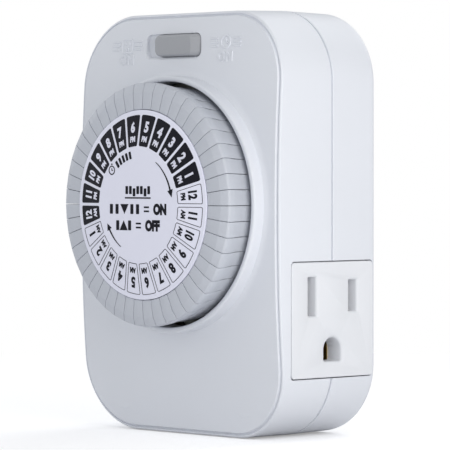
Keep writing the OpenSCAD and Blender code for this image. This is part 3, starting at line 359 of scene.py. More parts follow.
def tidy_mesh(mesh, near=2e-7):
    """Merges doubles, drops faces without area and turns the rest outwards."""
    work = bmesh.new()
    work.from_mesh(mesh)
    bmesh.ops.remove_doubles(work, verts=work.verts, dist=near)
    bmesh.ops.dissolve_degenerate(work, edges=work.edges, dist=near)
    bmesh.ops.recalc_face_normals(work, faces=work.faces)
    work.to_mesh(mesh)
    work.free()
    return mesh


def carved(name, shape, added, cuts):
    """A mesh of the shape with closed shapes joined to it and others cut from it."""
    holder = bpy.data.objects.new(name, new_mesh(name, shape))
    tools = []
    bpy.context.scene.collection.objects.link(holder)
    for operation, shapes in (("UNION", added), ("DIFFERENCE", cuts)):
        if not shapes:
            continue
        tool = bpy.data.objects.new(name + "_tool", new_mesh(name + "_tool", joined(shapes)))
        bpy.context.scene.collection.objects.link(tool)
        tools.append(tool)
        work = holder.modifiers.new(operation, "BOOLEAN")
        work.operation, work.solver, work.object = operation, "EXACT", tool
    depsgraph = bpy.context.evaluated_depsgraph_get()
    mesh = bpy.data.meshes.new_from_object(holder.evaluated_get(depsgraph))
    for spent in [holder] + tools:
        old = spent.data
        bpy.data.objects.remove(spent)
        bpy.data.meshes.remove(old)
    mesh.name = name
    return tidy_mesh(mesh, 1e-6)


def place_piece(mesh, body, slot, *nodes, finish=None):
    """A finished piece, named as its mesh: shaded smooth up to SMOOTH_TO degrees, on its body,
    for its nodes."""
    mesh.shade_smooth()
    mesh.set_sharp_from_angle(angle=math.radians(SMOOTH_TO))
    mesh.materials.clear()
    mesh.materials.append(finish or finish_for(slot))
    piece = bpy.data.objects.new(mesh.name, mesh)
    bpy.context.scene.collection.objects.link(piece)
    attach(piece, body)
    if nodes:
        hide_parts(*nodes)
    return piece


# ---- Finishes ----


def feed(tree, node, inputs):
    """Sets a node's inputs by name or number: sockets are linked, other values typed in."""
    for key, value in inputs.items():
        if isinstance(value, bpy.types.NodeSocket):
            tree.links.new(value, node.inputs[key])
        else:
            node.inputs[key].default_value = value


def put(tree, kind, inputs=None, **settings):
    """A new shader node with its settings and inputs."""
    node = tree.nodes.new("ShaderNode" + kind)
    for key, value in settings.items():
        setattr(node, key, value)
    feed(tree, node, inputs or {})
    return node


def noise(tree, vector, scale, detail, rough=0.5):
    """A noise texture on a vector."""
    return put(tree, "TexNoise", {"Vector": vector, "Scale": scale, "Detail": detail,
                                  "Roughness": rough}).outputs["Fac"]


def spread(tree, value, low, high, to_low, to_high):
    """A value taken from one range to another, and held inside it."""
    return put(tree, "MapRange", {"Value": value, "From Min": low, "From Max": high,
                                  "To Min": to_low, "To Max": to_high}).outputs["Result"]


def sums(tree, operation, first, second):
    """One arithmetic step on sockets or numbers."""
    return put(tree, "Math", {0: first, 1: second}, operation=operation).outputs[0]


def blend_colour(tree, share, first, second):
    """A mix of two colours by a share that varies over the surface."""
    return put(tree, "Mix", {0: share, 6: first, 7: second}, data_type="RGBA").outputs[2]


def relief(tree, height, strength, depth):
    """The normal of a bump from a height, with its depth in metres."""
    return put(tree, "Bump", {"Strength": strength, "Distance": depth,
                              "Height": height}).outputs["Normal"]


def new_group(name, **inputs):
    """A shader node group and what it reads: Vector, and colours and values by their defaults."""
    group = bpy.data.node_groups.new(name, "ShaderNodeTree")
    group.interface.new_socket(name="Vector", in_out="INPUT", socket_type="NodeSocketVector")
    for key, default in inputs.items():
        kind = "NodeSocketFloat" if isinstance(default, float) else "NodeSocketColor"
        made = group.interface.new_socket(name=key, in_out="INPUT", socket_type=kind)
        made.default_value = default
    return group, group.nodes.new("NodeGroupInput").outputs


def end_group(group, **outputs):
    """Gives the group its outputs, of which Colour is a colour and the others are values."""
    end = group.nodes.new("NodeGroupOutput")
    for key, source in outputs.items():
        kind = "NodeSocketColor" if key == "Colour" else "NodeSocketFloat"
        group.interface.new_socket(name=key, in_out="OUTPUT", socket_type=kind)
        group.links.new(source, end.inputs[key])
    return group


GREY = (0.8, 0.8, 0.8, 1.0)


def moulding_group(name):
    """Moulded plastic: slow shifts of tone and gloss from the melt's flow, and a fine grain that
    the mould's surface leaves."""
    group, read = new_group(name, Colour=GREY, Shade=GREY, Gloss=0.4, Grain=1500.0)
    flow = noise(group, read["Vector"], 22.0, 3.0)
    speck = noise(group, read["Vector"], 420.0, 2.0)
    grain = noise(group, read["Vector"], read["Grain"], 3.0, 0.6)
    tone = sums(group, "ADD", spread(group, flow, 0.35, 0.65, 0.0, 0.75),
                spread(group, speck, 0.62, 0.8, 0.0, 0.25))
    dull = sums(group, "ADD", spread(group, flow, 0.3, 0.7, 0.0, 0.06),
                spread(group, grain, 0.3, 0.7, 0.0, 0.04))
    return end_group(group, Colour=blend_colour(group, tone, read["Colour"], read["Shade"]),
                     Roughness=sums(group, "ADD", read["Gloss"], dull), Height=grain)


def handling_group(name):
    """Traces of handling: a sparse mask of short rubs, from one noise stretched along a slant
    and kept where a slower noise is high."""
    group, read = new_group(name, Colour=GREY, Rubbed=GREY, Amount=0.3)
    slant = put(group, "Mapping", {"Vector": read["Vector"], "Rotation": (0.4, 0.7, 0.3),
                                   "Scale": (1.0, 1.0, 9.0)})
    streak = noise(group, slant.outputs["Vector"], 150.0, 3.0, 0.7)
    patch = noise(group, read["Vector"], 60.0, 1.0)
    mask = sums(group, "MULTIPLY", spread(group, streak, 0.6, 0.72, 0.0, 1.0),
                spread(group, patch, 0.5, 0.7, 0.0, 1.0))
    mask = sums(group, "MULTIPLY", mask, read["Amount"])
    return end_group(group, Colour=blend_colour(group, mask, read["Colour"], read["Rubbed"]),
                     Rub=mask)


def strip_group(name):
    """Rolled or drawn metal: fine streaks along one direction, with slow blotches of tarnish."""
    group, read = new_group(name, Colour=GREY, Tarnish=GREY, Gloss=0.25)
    pulled = put(group, "Mapping", {"Vector": read["Vector"], "Scale": (1.0, 0.05, 1.0)})
    streak = noise(group, pulled.outputs["Vector"], 2600.0, 4.0, 0.7)
    blotch = spread(group, noise(group, read["Vector"], 130.0, 3.0), 0.45, 0.75, 0.0, 0.7)
    dull = spread(group, streak, 0.25, 0.75, 0.0, 0.2)
    return end_group(group, Colour=blend_colour(group, blotch, read["Colour"], read["Tarnish"]),
                     Roughness=sums(group, "ADD", read["Gloss"], dull), Height=streak)


def put_group(tree, maker, name, inputs):
    """The named group's node in a material. The group is made once."""
    group = bpy.data.node_groups.get(name) or maker(name)
    return put(tree, "Group", inputs, node_tree=group).outputs


def new_finish(name):
    """An empty finish: its tree, its shader and Object coordinates."""
    finish = bpy.data.materials.new(name)
    finish.use_nodes = True
    tree = finish.node_tree
    return finish, tree, tree.nodes["Principled BSDF"], put(tree, "TexCoord").outputs["Object"]


def shaded(tint, factor=1.0):
    """A colour with its light scaled, as four numbers."""
    return (*[min(1.0, part * factor) for part in tint], 1.0)


def plastic(name, tint, gloss=0.42, deep=0.965, grain=1500.0, strength=0.25, rubs=0.25, coat=0.0,
            shine=0.5):
    """A moulded plastic finish with its grain and faint rubs."""
    finish, tree, shader, where = new_finish(name)
    mould = put_group(tree, moulding_group, "moulded grain", {
        "Vector": where, "Colour": shaded(tint), "Shade": shaded(tint, deep), "Gloss": gloss,
        "Grain": grain})
    rubbed = put_group(tree, handling_group, "handling rubs", {
        "Vector": where, "Colour": mould["Colour"], "Rubbed": shaded(tint, 1.06), "Amount": rubs})
    dull = sums(tree, "SUBTRACT", mould["Roughness"], sums(tree, "MULTIPLY", rubbed["Rub"], 0.1))
    feed(tree, shader, {
        "Base Color": rubbed["Colour"], "Roughness": dull, "IOR": 1.5, "Specular IOR Level": shine,
        "Coat Weight": coat, "Coat Roughness": 0.2,
        "Normal": relief(tree, mould["Height"], strength, 0.00002)})
    return finish


def metal(name, tint, gloss=0.26, tarnish=0.62):
    """A rolled or drawn metal finish with streaks and tarnish."""
    finish, tree, shader, where = new_finish(name)
    strip = put_group(tree, strip_group, "drawn metal", {
        "Vector": where, "Colour": shaded(tint), "Tarnish": shaded(tint, tarnish), "Gloss": gloss})
    rubbed = put_group(tree, handling_group, "handling rubs", {
        "Vector": where, "Colour": strip["Colour"], "Rubbed": shaded(tint, 1.15), "Amount": 0.4})
    feed(tree, shader, {
        "Base Color": rubbed["Colour"], "Roughness": strip["Roughness"], "Metallic": 1.0,
        "Normal": relief(tree, strip["Height"], 0.2, 0.00001)})
    return finish


# For each material slot: the finish's name, its maker, its colour and what else the maker takes.
FINISHES = {
    "housing": ("housing plastic", plastic, "housing", (0.4,)),
    "outlet_face": ("outlet plastic", plastic, "outlet", (0.36, 0.975)),
    "dial": ("dial plastic", plastic, "dial", (0.44, 0.95, 1500.0, 0.3)),
    "knob": ("knob plastic", plastic, "knob", (0.42, 0.95, 1500.0, 0.3)),
    "label": ("label film", plastic, "label", (0.3, 0.98, 700.0, 0.06, 0.0, 0.3)),
    "dark_print": ("dark print", plastic, "ink", (0.5, 0.8, 900.0, 0.05, 0.0, 0.0, 0.15)),
    "pale_print": ("pale print", plastic, "label", (0.5, 0.8, 900.0, 0.05, 0.0, 0.0, 0.15)),
    "inner_plastic": ("inner plastic", plastic, "inner", (0.5, 0.9)),
    "lead_plastic": ("lead jacket", plastic, "jacket", (0.5, 0.85)),
    "brass": ("brass strip", metal, "brass", ()),
    "copper": ("copper strip", metal, "copper", ()),
    "steel": ("plated steel", metal, "steel", (0.3, 0.75)),
}


def finish_for(slot):
    """The finish of a material slot, or of a kind of print. It is made once."""
    name, maker, tint, rest = FINISHES[slot]
    colours = bpy.context.scene.timer_colours
    return bpy.data.materials.get(name) or maker(name, getattr(colours, tint), *rest)


# ---- Operators ----


def crown_at(size, up):
    """Distance of the face from the wall at a height: the most at the crest, less by a power a
    little over two of the way to the top or bottom."""
    way = np.abs(up - size.crest) / size.half_height
    return size.front + size.crown * (1 - way ** 2.3)


def outlet_window(size, side):
    """The block that opens both shells for an outlet plate."""
    outline = rounded((size.far - size.near) / 2, (size.high - size.low) / 2, 1.0)
    middle = ((size.far + size.near) / 2, (size.high + size.low) / 2)
    return sideways_block(outline, [(0, size.face - 4), (0, size.face + 1)], middle, side)


def shell_outline(size):
    """The housing's outline at the seam, with its outward directions."""
    base, way = rounded(size.half_width, size.half_height, size.corner, 40, 48, 84)
    return base + [0, size.middle], way


# Places of the housing's and the frame's screws, and the radii and outer end of their bosses.
SCREWS = ((16.5, 39.5), (-16.5, 39.5), (20.0, -40.0), (-20.0, -40.0))
FRAME_SCREWS = ((26.0, 31.0), (-26.0, 31.0), (0.0, -30.5))
BOSS, BORE, BOSS_END = 3.2, 1.25, 29.4

# Each blade's name, sideways place, width and half the length of its hole in the rear shell.
BLADES = (("line_blade", 6.35, 6.35, 3.28), ("neutral_blade", -6.35, 7.92, 4.06))
BLADE_HEIGHT, HALF_BLADE = 11.9, 0.76


def rods(places, *profile):
    """The same turned solid at each place."""
    return [turned(profile, place) for place in places]


class TIMER_OT_front_shell(bpy.types.Operator):
    """Front shell: its edge, stepped border, crowned face and collar are one profile carried
    round the housing, which changes from a rounded rectangle to a circle across the face"""
    bl_idname = "timer.front_shell"
    bl_label = "Front shell"

    def execute(self, context):
        size = sizes("housing")
        dial = sizes("dial")
        switch = sizes("switch")
        outlet = sizes("outlet")
        base, way = shell_outline(size)
        axis = np.array([0, dial.height])

        def drooped(inset, share):
            flat = base - inset * way
            sink = size.droop * share * np.clip(flat[:, 1] / size.half_height, 0, 1)
            return flat - np.c_[0 * sink, sink]

        def edge(inset, drop=0.0, out=None):
            share = 1 if out is None else max(0, out - size.seam) / (size.front - size.seam)
            flat = drooped(inset, share)
            return to_row(*flat.T, crown_at(size, flat[:, 1]) - drop if out is None else out)

        rim = size.lean + size.edge
        spoke = drooped(rim + size.groove + size.slope + 0.3, 1)
        ray = (spoke - axis) / np.linalg.norm(spoke - axis, axis=1)[:, None]

        def circle(radius, lift=0.0, out=None):
            flat = axis + radius * ray
            return to_row(*flat.T, crown_at(size, flat[:, 1]) + lift if out is None else out)

        def across(share, start, end, drop=0.0):
            flat = start * (1 - share) + end * share
            return to_row(*flat.T, crown_at(size, flat[:, 1]) - drop)

        outer = size.collar_inside + size.collar_wall
        foot = outer + size.flare
        half = size.collar_wall / 2
        lip_out = size.collar_top - half
        low = size.seam - size.lip_height
        soft = 0.12
        lip_in = size.wall - size.lip
        rings = [edge(inset, out=out) for inset, out in (
            (size.wall, low), (lip_in, low), (lip_in, size.seam), (soft, size.seam),
            (soft / 3, size.seam + soft / 3), (0.0, size.seam + soft),
            (0.01, size.seam + 3 * soft), (size.lean / 2, 22.5))]
        rings += [edge(size.lean - 0.01, size.step + size.edge + 0.3)]
        rings += [edge(size.lean + size.edge * (1 - c), size.step + size.edge * (1 - s))
                  for c, s in arc(0, 90, 8)]
        rings += [edge(rim + size.groove * inset, size.step + size.groove * drop)
                  for inset, drop in ((0, 0), (0.12, 0.05), (0.2, 0.2), (0.3, 0.55), (0.45, 0.7),
                                      (0.65, 0.7), (0.85, 0.6), (1, 0.35))]
        rings += [edge(rim + size.groove + size.slope * inset, size.step * drop)
                  for inset, drop in ((0.6, 0.35), (0.8, 0.15), (1, 0.05), (1.4, 0.01), (1.9, 0))]
        rings += [across(share, spoke, axis + foot * ray) for share in (
            0, 0.03, 0.1, 0.2, 0.32, 0.45, 0.58, 0.7, 0.8, 0.88, 0.94, 0.98)]
        rings += [circle(foot - size.flare * share, size.flare_height * share ** 2)
                  for share in np.linspace(0, 1, 8)]
        rings += [circle(outer, out=lip_out - 0.3)]
        rings += [circle(outer - half + half * np.sign(c) * abs(c) ** 0.75,
                         out=lip_out + half * s ** 0.75) for c, s in arc(0, 180, 15)]
        rings += [circle(radius, out=out) for radius, out in (
            (size.collar_inside, lip_out - 0.3), (size.collar_inside, size.skirt),
            (outer, size.skirt))]
        rings += [circle(outer, -size.wall)]
        inside = base - (size.wall + size.lean) * way
        rings += [across(share, axis + outer * ray, inside, size.wall)
                  for share in (0.3, 0.6, 1.0)]
        bores = (rods(SCREWS, (BORE, 14.0), (BORE, 23.2))
                 + rods(FRAME_SCREWS, (BORE, 22.0), (BORE, 28.0)))
        bosses = (rods(SCREWS, (BOSS, size.seam), (BOSS, BOSS_END))
                  + rods(FRAME_SCREWS, (BOSS, 23.4), (BOSS, BOSS_END)))
        opening = rounded(switch.half_length, switch.half_width, switch.radius, 10, 4, 2)
        face = crown_at(size, switch.height)
        recess = upright_block(opening, [
            (0.25, switch.floor), (0.07, switch.floor + 0.07), (0, switch.floor + 0.25),
            (0, face - 0.3), (-0.05, face - 0.12), (-0.2, face + 0.02), (-1.2, face + 1)],
            (switch.middle, switch.height))
        slot = upright_block(rounded(4.6, 1.4, 0.4), [(0, 26), (0, switch.floor + 0.5)],
                             (switch.middle, switch.height))
        mesh = carved("front_shell", loft(rings, loop=True), bosses,
                      bores + [recess, slot] + [outlet_window(outlet, side) for side in (1, -1)])
        place_piece(mesh, "housing", "housing", "front_housing")
        return {"FINISHED"}


class TIMER_OT_rear_shell(bpy.types.Operator):
    """Rear shell: one profile from the middle of the wall plate, round the rear edge and the
    seam's groove, and back across the inside, carried round the rounded rectangle"""
    bl_idname = "timer.rear_shell"
    bl_label = "Rear shell"

    def execute(self, context):
        size = sizes("housing")
        outlet = sizes("outlet")
        base, way = shell_outline(size)
        centre = np.array([0, size.middle])

        def edge(inset, out, share=1.0):
            return to_row(*(centre + share * (base - inset * way - centre)).T, out)

        round_in = size.rear_lean + size.rear_edge
        groove = size.seam - size.seam_gap
        low = size.seam - size.lip_height - 0.1
        lip_in = size.wall - size.lip - 0.1
        inner = size.wall + size.rear_lean
        shares = (0.02, 0.25, 0.5, 0.75, 0.92, 0.99)
        rings = [edge(round_in, 0, share) for share in shares]
        rings += [edge(round_in - size.rear_edge * s, size.rear_edge * (1 - c))
                  for c, s in arc(0, 90, 10)]
        rings += [edge(inset, out) for inset, out in (
            (size.rear_lean - 0.01, size.rear_edge + 0.3), (0.02, groove - 0.6),
            (0.0, groove - 0.12), (0.04, groove - 0.04), (0.12, groove), (size.seam_gap, groove),
            (size.seam_gap, size.seam), (lip_in, size.seam), (lip_in, low), (size.wall, low),
            (inner, size.wall))]
        rings += [edge(inner, size.wall, share) for share in shares[::-1]]
        post, shank, sleeve, mouth, pin_hole = 3.6, 1.3, 2.5, 2.75, 3.05
        posts = rods(SCREWS, (post, 1.1), (post, size.seam))
        cuts = rods(SCREWS, (shank, 8.0), (shank, 16.5))
        cuts += rods(SCREWS, (mouth, -1.0), (mouth, -0.05), (sleeve, 0.2), (sleeve, 9.0))
        cuts += [upright_block(rounded(HALF_BLADE + 0.1, half, 0.3, 4), [(0, -1), (0, 3)],
                               (across, BLADE_HEIGHT)) for _, across, _, half in BLADES]
        cuts += [turned([(pin_hole, -1), (pin_hole, 3.2)], (0, 0), 64)]
        cuts += [outlet_window(outlet, side) for side in (1, -1)]
        panel = [(0.12, 0.25), (0, 0.1), (-0.1, -1)]
        cuts += [upright_block(rounded(17, 8, 1.5), panel, (0, -24))]
        mesh = carved("rear_shell", loft(rings), posts, cuts)
        place_piece(mesh, "housing", "housing", "rear_housing")
        return {"FINISHED"}


class TIMER_OT_outlets(bpy.types.Operator):
    """Outlet plates: rounded slabs on a flange, cut by slots whose mouths slope outwards"""
    bl_idname = "timer.outlets"
    bl_label = "Outlet plates"

    def execute(self, context):
        size = sizes("outlet")
        half_deep = (size.far - size.near) / 2 - size.gap
        half_tall = (size.high - size.low) / 2 - size.gap
        plate, way = rounded(half_deep, half_tall, 0.9, 8, 4, 4)
        flange, behind = rounded(12.4, 12.8, 0.9, 8, 4, 4)[0], (14.8, -19.9)
        middle = np.array([(size.far + size.near) / 2, (size.high + size.low) / 2])
        thick, soft = 2.2, 0.3
        inner = size.face - thick
        for side, name in ((1, "right"), (-1, "left")):
            def ring(outline, across, centre):
                place = outline + centre
                return to_row(side * across, place[:, 1], place[:, 0])

            rings = [ring(flange, inner - size.flange, behind), ring(flange, inner, behind),
                     ring(plate, inner, middle), ring(plate, size.face - soft - 0.2, middle)]
            rings += [ring(plate - soft * (1 - c) * way, size.face - soft * (1 - s), middle)
                      for c, s in arc(0, 90, 6)]
            rings += [ring(plate - (soft + 0.2) * way, size.face, middle)]
            mouth = [(0, inner - size.flange - 1), (0, size.face - size.mouth),
                     (0.08, size.face - 0.7 * size.mouth), (0.3, size.face - 0.35 * size.mouth),
                     (size.mouth, size.face), (size.mouth + 2, size.face + 0.8)]
            near, far = size.middle - size.pitch / 2, size.middle + size.pitch / 2
            neutral, line = (far, near) if side == 1 else (near, far)
            cuts = [sideways_block(rounded(size.slot_width / 2, long / 2, 0.2, 4), mouth,
                                   (deep, size.slot_height), side)
                    for deep, long in ((neutral, size.neutral), (line, size.line))]
            hole = rounded_polygon([(-2.7, -2.55), (2.7, -2.55), (2.7, 2.7), (-2.7, 2.7)],
                                   (0.5, 0.5, 2.69, 2.69), 16)
            cuts.append(sideways_block(hole, mouth, (size.middle, size.ground_height), side))
            mesh = carved("outlet_plate_" + name, loft(rings), [], cuts)
            place_piece(mesh, "housing", "outlet_face", "outlet_face_" + name)
        return {"FINISHED"}


class TIMER_OT_marks(bpy.types.Operator):
    """Raised marks beside the switch: round ridges drawn along letters and pictograms, half sunk
    in the face"""
    bl_idname = "timer.marks"
    bl_label = "Raised marks"

    def execute(self, context):
        size = sizes("housing")
        thin = 0.2

        def laid(shape, across, up):
            points, quads, others = shape
            flat = points[:, :2] + [across, up]
            out = crown_at(size, flat[:, 1]) + points[:, 2] + 0.03
            return to_row(flat[:, 0], flat[:, 1], out), quads, others

        def line(path, across, up, closed=False):
            shapes.append(laid(ridge(path, thin, closed), across, up))

        shapes = []
        right, left = 14.9, -17.9
        line(1.45 * unit_circle(), right, 40.2, True)
        line([(0, 0.95), (0, 0), (0.7, -0.4)], right, 40.2)
        line(rounded(1.75, 1.5, 0.5, 6)[0], left, 40.0, True)
        for x in (-0.7, 0.7):
            line([(x, 0.2), (x, 0.9)], left, 40.0)
        line(0.38 * unit_circle(), left, 39.3, True)
        for x in (right, left):
            for start in (-4.9, 2.6):
                for rise in (-0.9, 0, 0.9):
                    line([(start, rise), (start + 2.3, rise)], x, 40.1)
        shapes += [laid(lettering("ON", 2.5, hollow=thin), x, 36.9) for x in (right, left)]
        place_piece(new_mesh("raised_marks", joined(shapes)), "housing", "housing")
        return {"FINISHED"}


class TIMER_OT_knob(bpy.types.Operator):
    """Slide switch: rounded rectangles that shrink over a quarter ellipse, and over a long
    chamfer at the right-hand end, with the stem and carrier behind"""
    bl_idname = "timer.knob"
    bl_label = "Slide switch"

    def execute(self, context):
        size = sizes("switch")
        right = size.middle + size.half_length - size.gap
        left = right - size.knob
        tall = size.half_width - size.gap
        radius = size.radius - size.gap
        shoulder, shrink = size.top - 1.6, 0.55

        def ring(inset, right_inset, out):
            start, end = left + inset, right - right_inset
            flat = rounded((end - start) / 2, tall - inset, radius - inset * 0.5, 10, 4, 2)[0]
            return to_row(flat[:, 0] + (start + end) / 2, flat[:, 1] + size.height, out)

        rings = [ring(0, 0, size.floor + 0.1), ring(0, 0, shoulder - 0.2)]
        rings += [ring(shrink * (1 - c), size.bevel * s ** 1.3,
                       shoulder + (size.top - shoulder) * s) for c, s in arc(0, 90, 12)]
        rings += [ring(shrink + 0.25, size.bevel + 0.3, size.top)]
        middle = ((left + right) / 2, size.height)
        stem = upright_block(rounded(3.5, 1.3, 0.3, 4), [(0, 26.9), (0, size.floor + 0.1)], middle)
        carrier = upright_block(rounded(4.8, 2.6, 0.4, 4), [(0, 25.9), (0, 26.9)], middle)
        mesh = new_mesh("switch_knob", joined([loft(rings), stem, carrier]))
        place_piece(mesh, "knob", "knob", "override_knob")
        return {"FINISHED"}


class TIMER_OT_pins(bpy.types.Operator):
    """Trip pins: a rounded section along the radius with a thin skirt outside, swept across each
    pin's width, which grows with the radius, with round edges where the sweep ends"""
    bl_idname = "timer.pins"
    bl_label = "Trip pins"

    def execute(self, context):
        size = sizes("dial")
        inside, outside, top, foot = size.pin_inside, size.pin_outside, size.pin_top, size.pin_foot
        skirt = (outside - 1.04, outside - 0.88)
        corners = [(skirt[0], size.skirt_end), (skirt[1], size.skirt_end), (skirt[1], foot + 0.8),
                   (outside - 0.75, foot + 2.2), (outside - 0.45, top - 4.15),
                   (outside - 0.1, top - 2.75), (outside, top - 1.45), (outside - 0.2, top - 0.85),
                   (outside - 2.1, top - 0.22), (inside, top), (inside, foot), (skirt[0], foot)]
        section, way = rounded_polygon(
            corners, (0.07, 0.07, 2, 3, 3, 3, 0.35, 0.35, 0.8, 0.15, 0.15, 0), 3)
        soft = size.pin_round
        widening = math.tan(np.pi / PINS)
        stem_in, half_wide, deep = 0.9, 0.65, 3.0

        def head(angle):
            rings = []
            for side, reach, inset in soft_sweep(soft, 4):
                points = section - inset * way
                half = points[:, 0] * widening - size.pin_gap / 2 - soft
                rings.append(self.turned_to(points[:, 0], side * half + reach, points[:, 1], angle,
                                            size.height))
            return loft(rings)

        def stem(angle):
            middle = inside + stem_in + deep / 2
            flat = rounded(deep / 2, half_wide, 0.2, 2)[0]
            return loft([self.turned_to(flat[:, 0] + middle, flat[:, 1], out, angle, size.height)
                         for out in (size.stem_end, foot)])

        for hour in range(HOURS):
            name = "pins_%02dh" % hour
            first = 2 * (hour + HOURS // 2)
            angles = [(pin + 0.5) * 2 * np.pi / PINS for pin in (first, first + 1)]
            shape = joined([make(angle) for angle in angles for make in (head, stem)])
            place_piece(new_mesh("trip_" + name, shape), "hour_%02d" % hour, "dial", name)
        return {"FINISHED"}

    @staticmethod
    def turned_to(radius, beside, out, angle, height):
        """Row-frame points from radius and sideways distance, turned to an angle on the dial."""
        across = radius * math.cos(angle) - beside * math.sin(angle)
        up = radius * math.sin(angle) + beside * math.cos(angle)
        return to_row(across, up + height, out)


def label_lift(size, radius):
    """Height of the label over its rim at a radius: flat in the middle, then an even slope."""
    share = (size.slope_outside - radius) / (size.slope_outside - size.slope_inside)
    return size.label_rise * np.clip(share, 0, 1)


def on_dial(size, flat, out, angle=90.0, radius=0.0):
    """Flat points laid on the label: their up turned to the angle and moved out by the radius."""
    turn = math.radians(angle)
    up = np.array([math.cos(turn), math.sin(turn)])
    right = np.array([math.sin(turn), -math.cos(turn)])
    place = flat[:, :1] * right + (flat[:, 1:2] + radius) * up
    lift = label_lift(size, np.linalg.norm(place, axis=1))
    return to_row(place[:, 0], place[:, 1] + size.height, out + lift)


def layer(size, pale=False):
    """The depths between which the dark print lies, or the pale print on top of it."""
    high = size.label + size.ink
    return (high - 0.002, high + size.ink) if pale else (size.label - size.ink / 2, high)


def inked(size, flat, angle=90.0, radius=0.0):
    """A flat outline as a thin layer of print."""
    return loft([on_dial(size, flat, out, angle, radius) for out in layer(size)])


def band(size, outer, inner, angle=90.0):
    """The strip between two outlines of equal length as a thin layer of print."""
    low, high = layer(size)
    rings = [(outer, low), (outer, high), (inner, high), (inner, low)]
    return loft([on_dial(size, flat, out, angle) for flat, out in rings], loop=True)


def printed(size, shape, angle=90.0, radius=0.0, pale=False):
    """Lettering as a thin layer of print."""
    points, quads, others = shape
    low, high = layer(size, pale)
    out = low + (high - low) * points[:, 2]
    return on_dial(size, points[:, :2], out, angle, radius), quads, others


def swept_band(radius, start, end, thick_start, thick_end, count=24):
    """An arc's outline about the dial's axis, with its thickness going evenly from one to
    another."""
    turn = np.radians(np.linspace(start, end, count))
    way = np.c_[np.cos(turn), np.sin(turn)]
    half = np.linspace(thick_start, thick_end, count)[:, None] / 2
    return np.concatenate([way * (radius + half), (way * (radius - half))[::-1]])


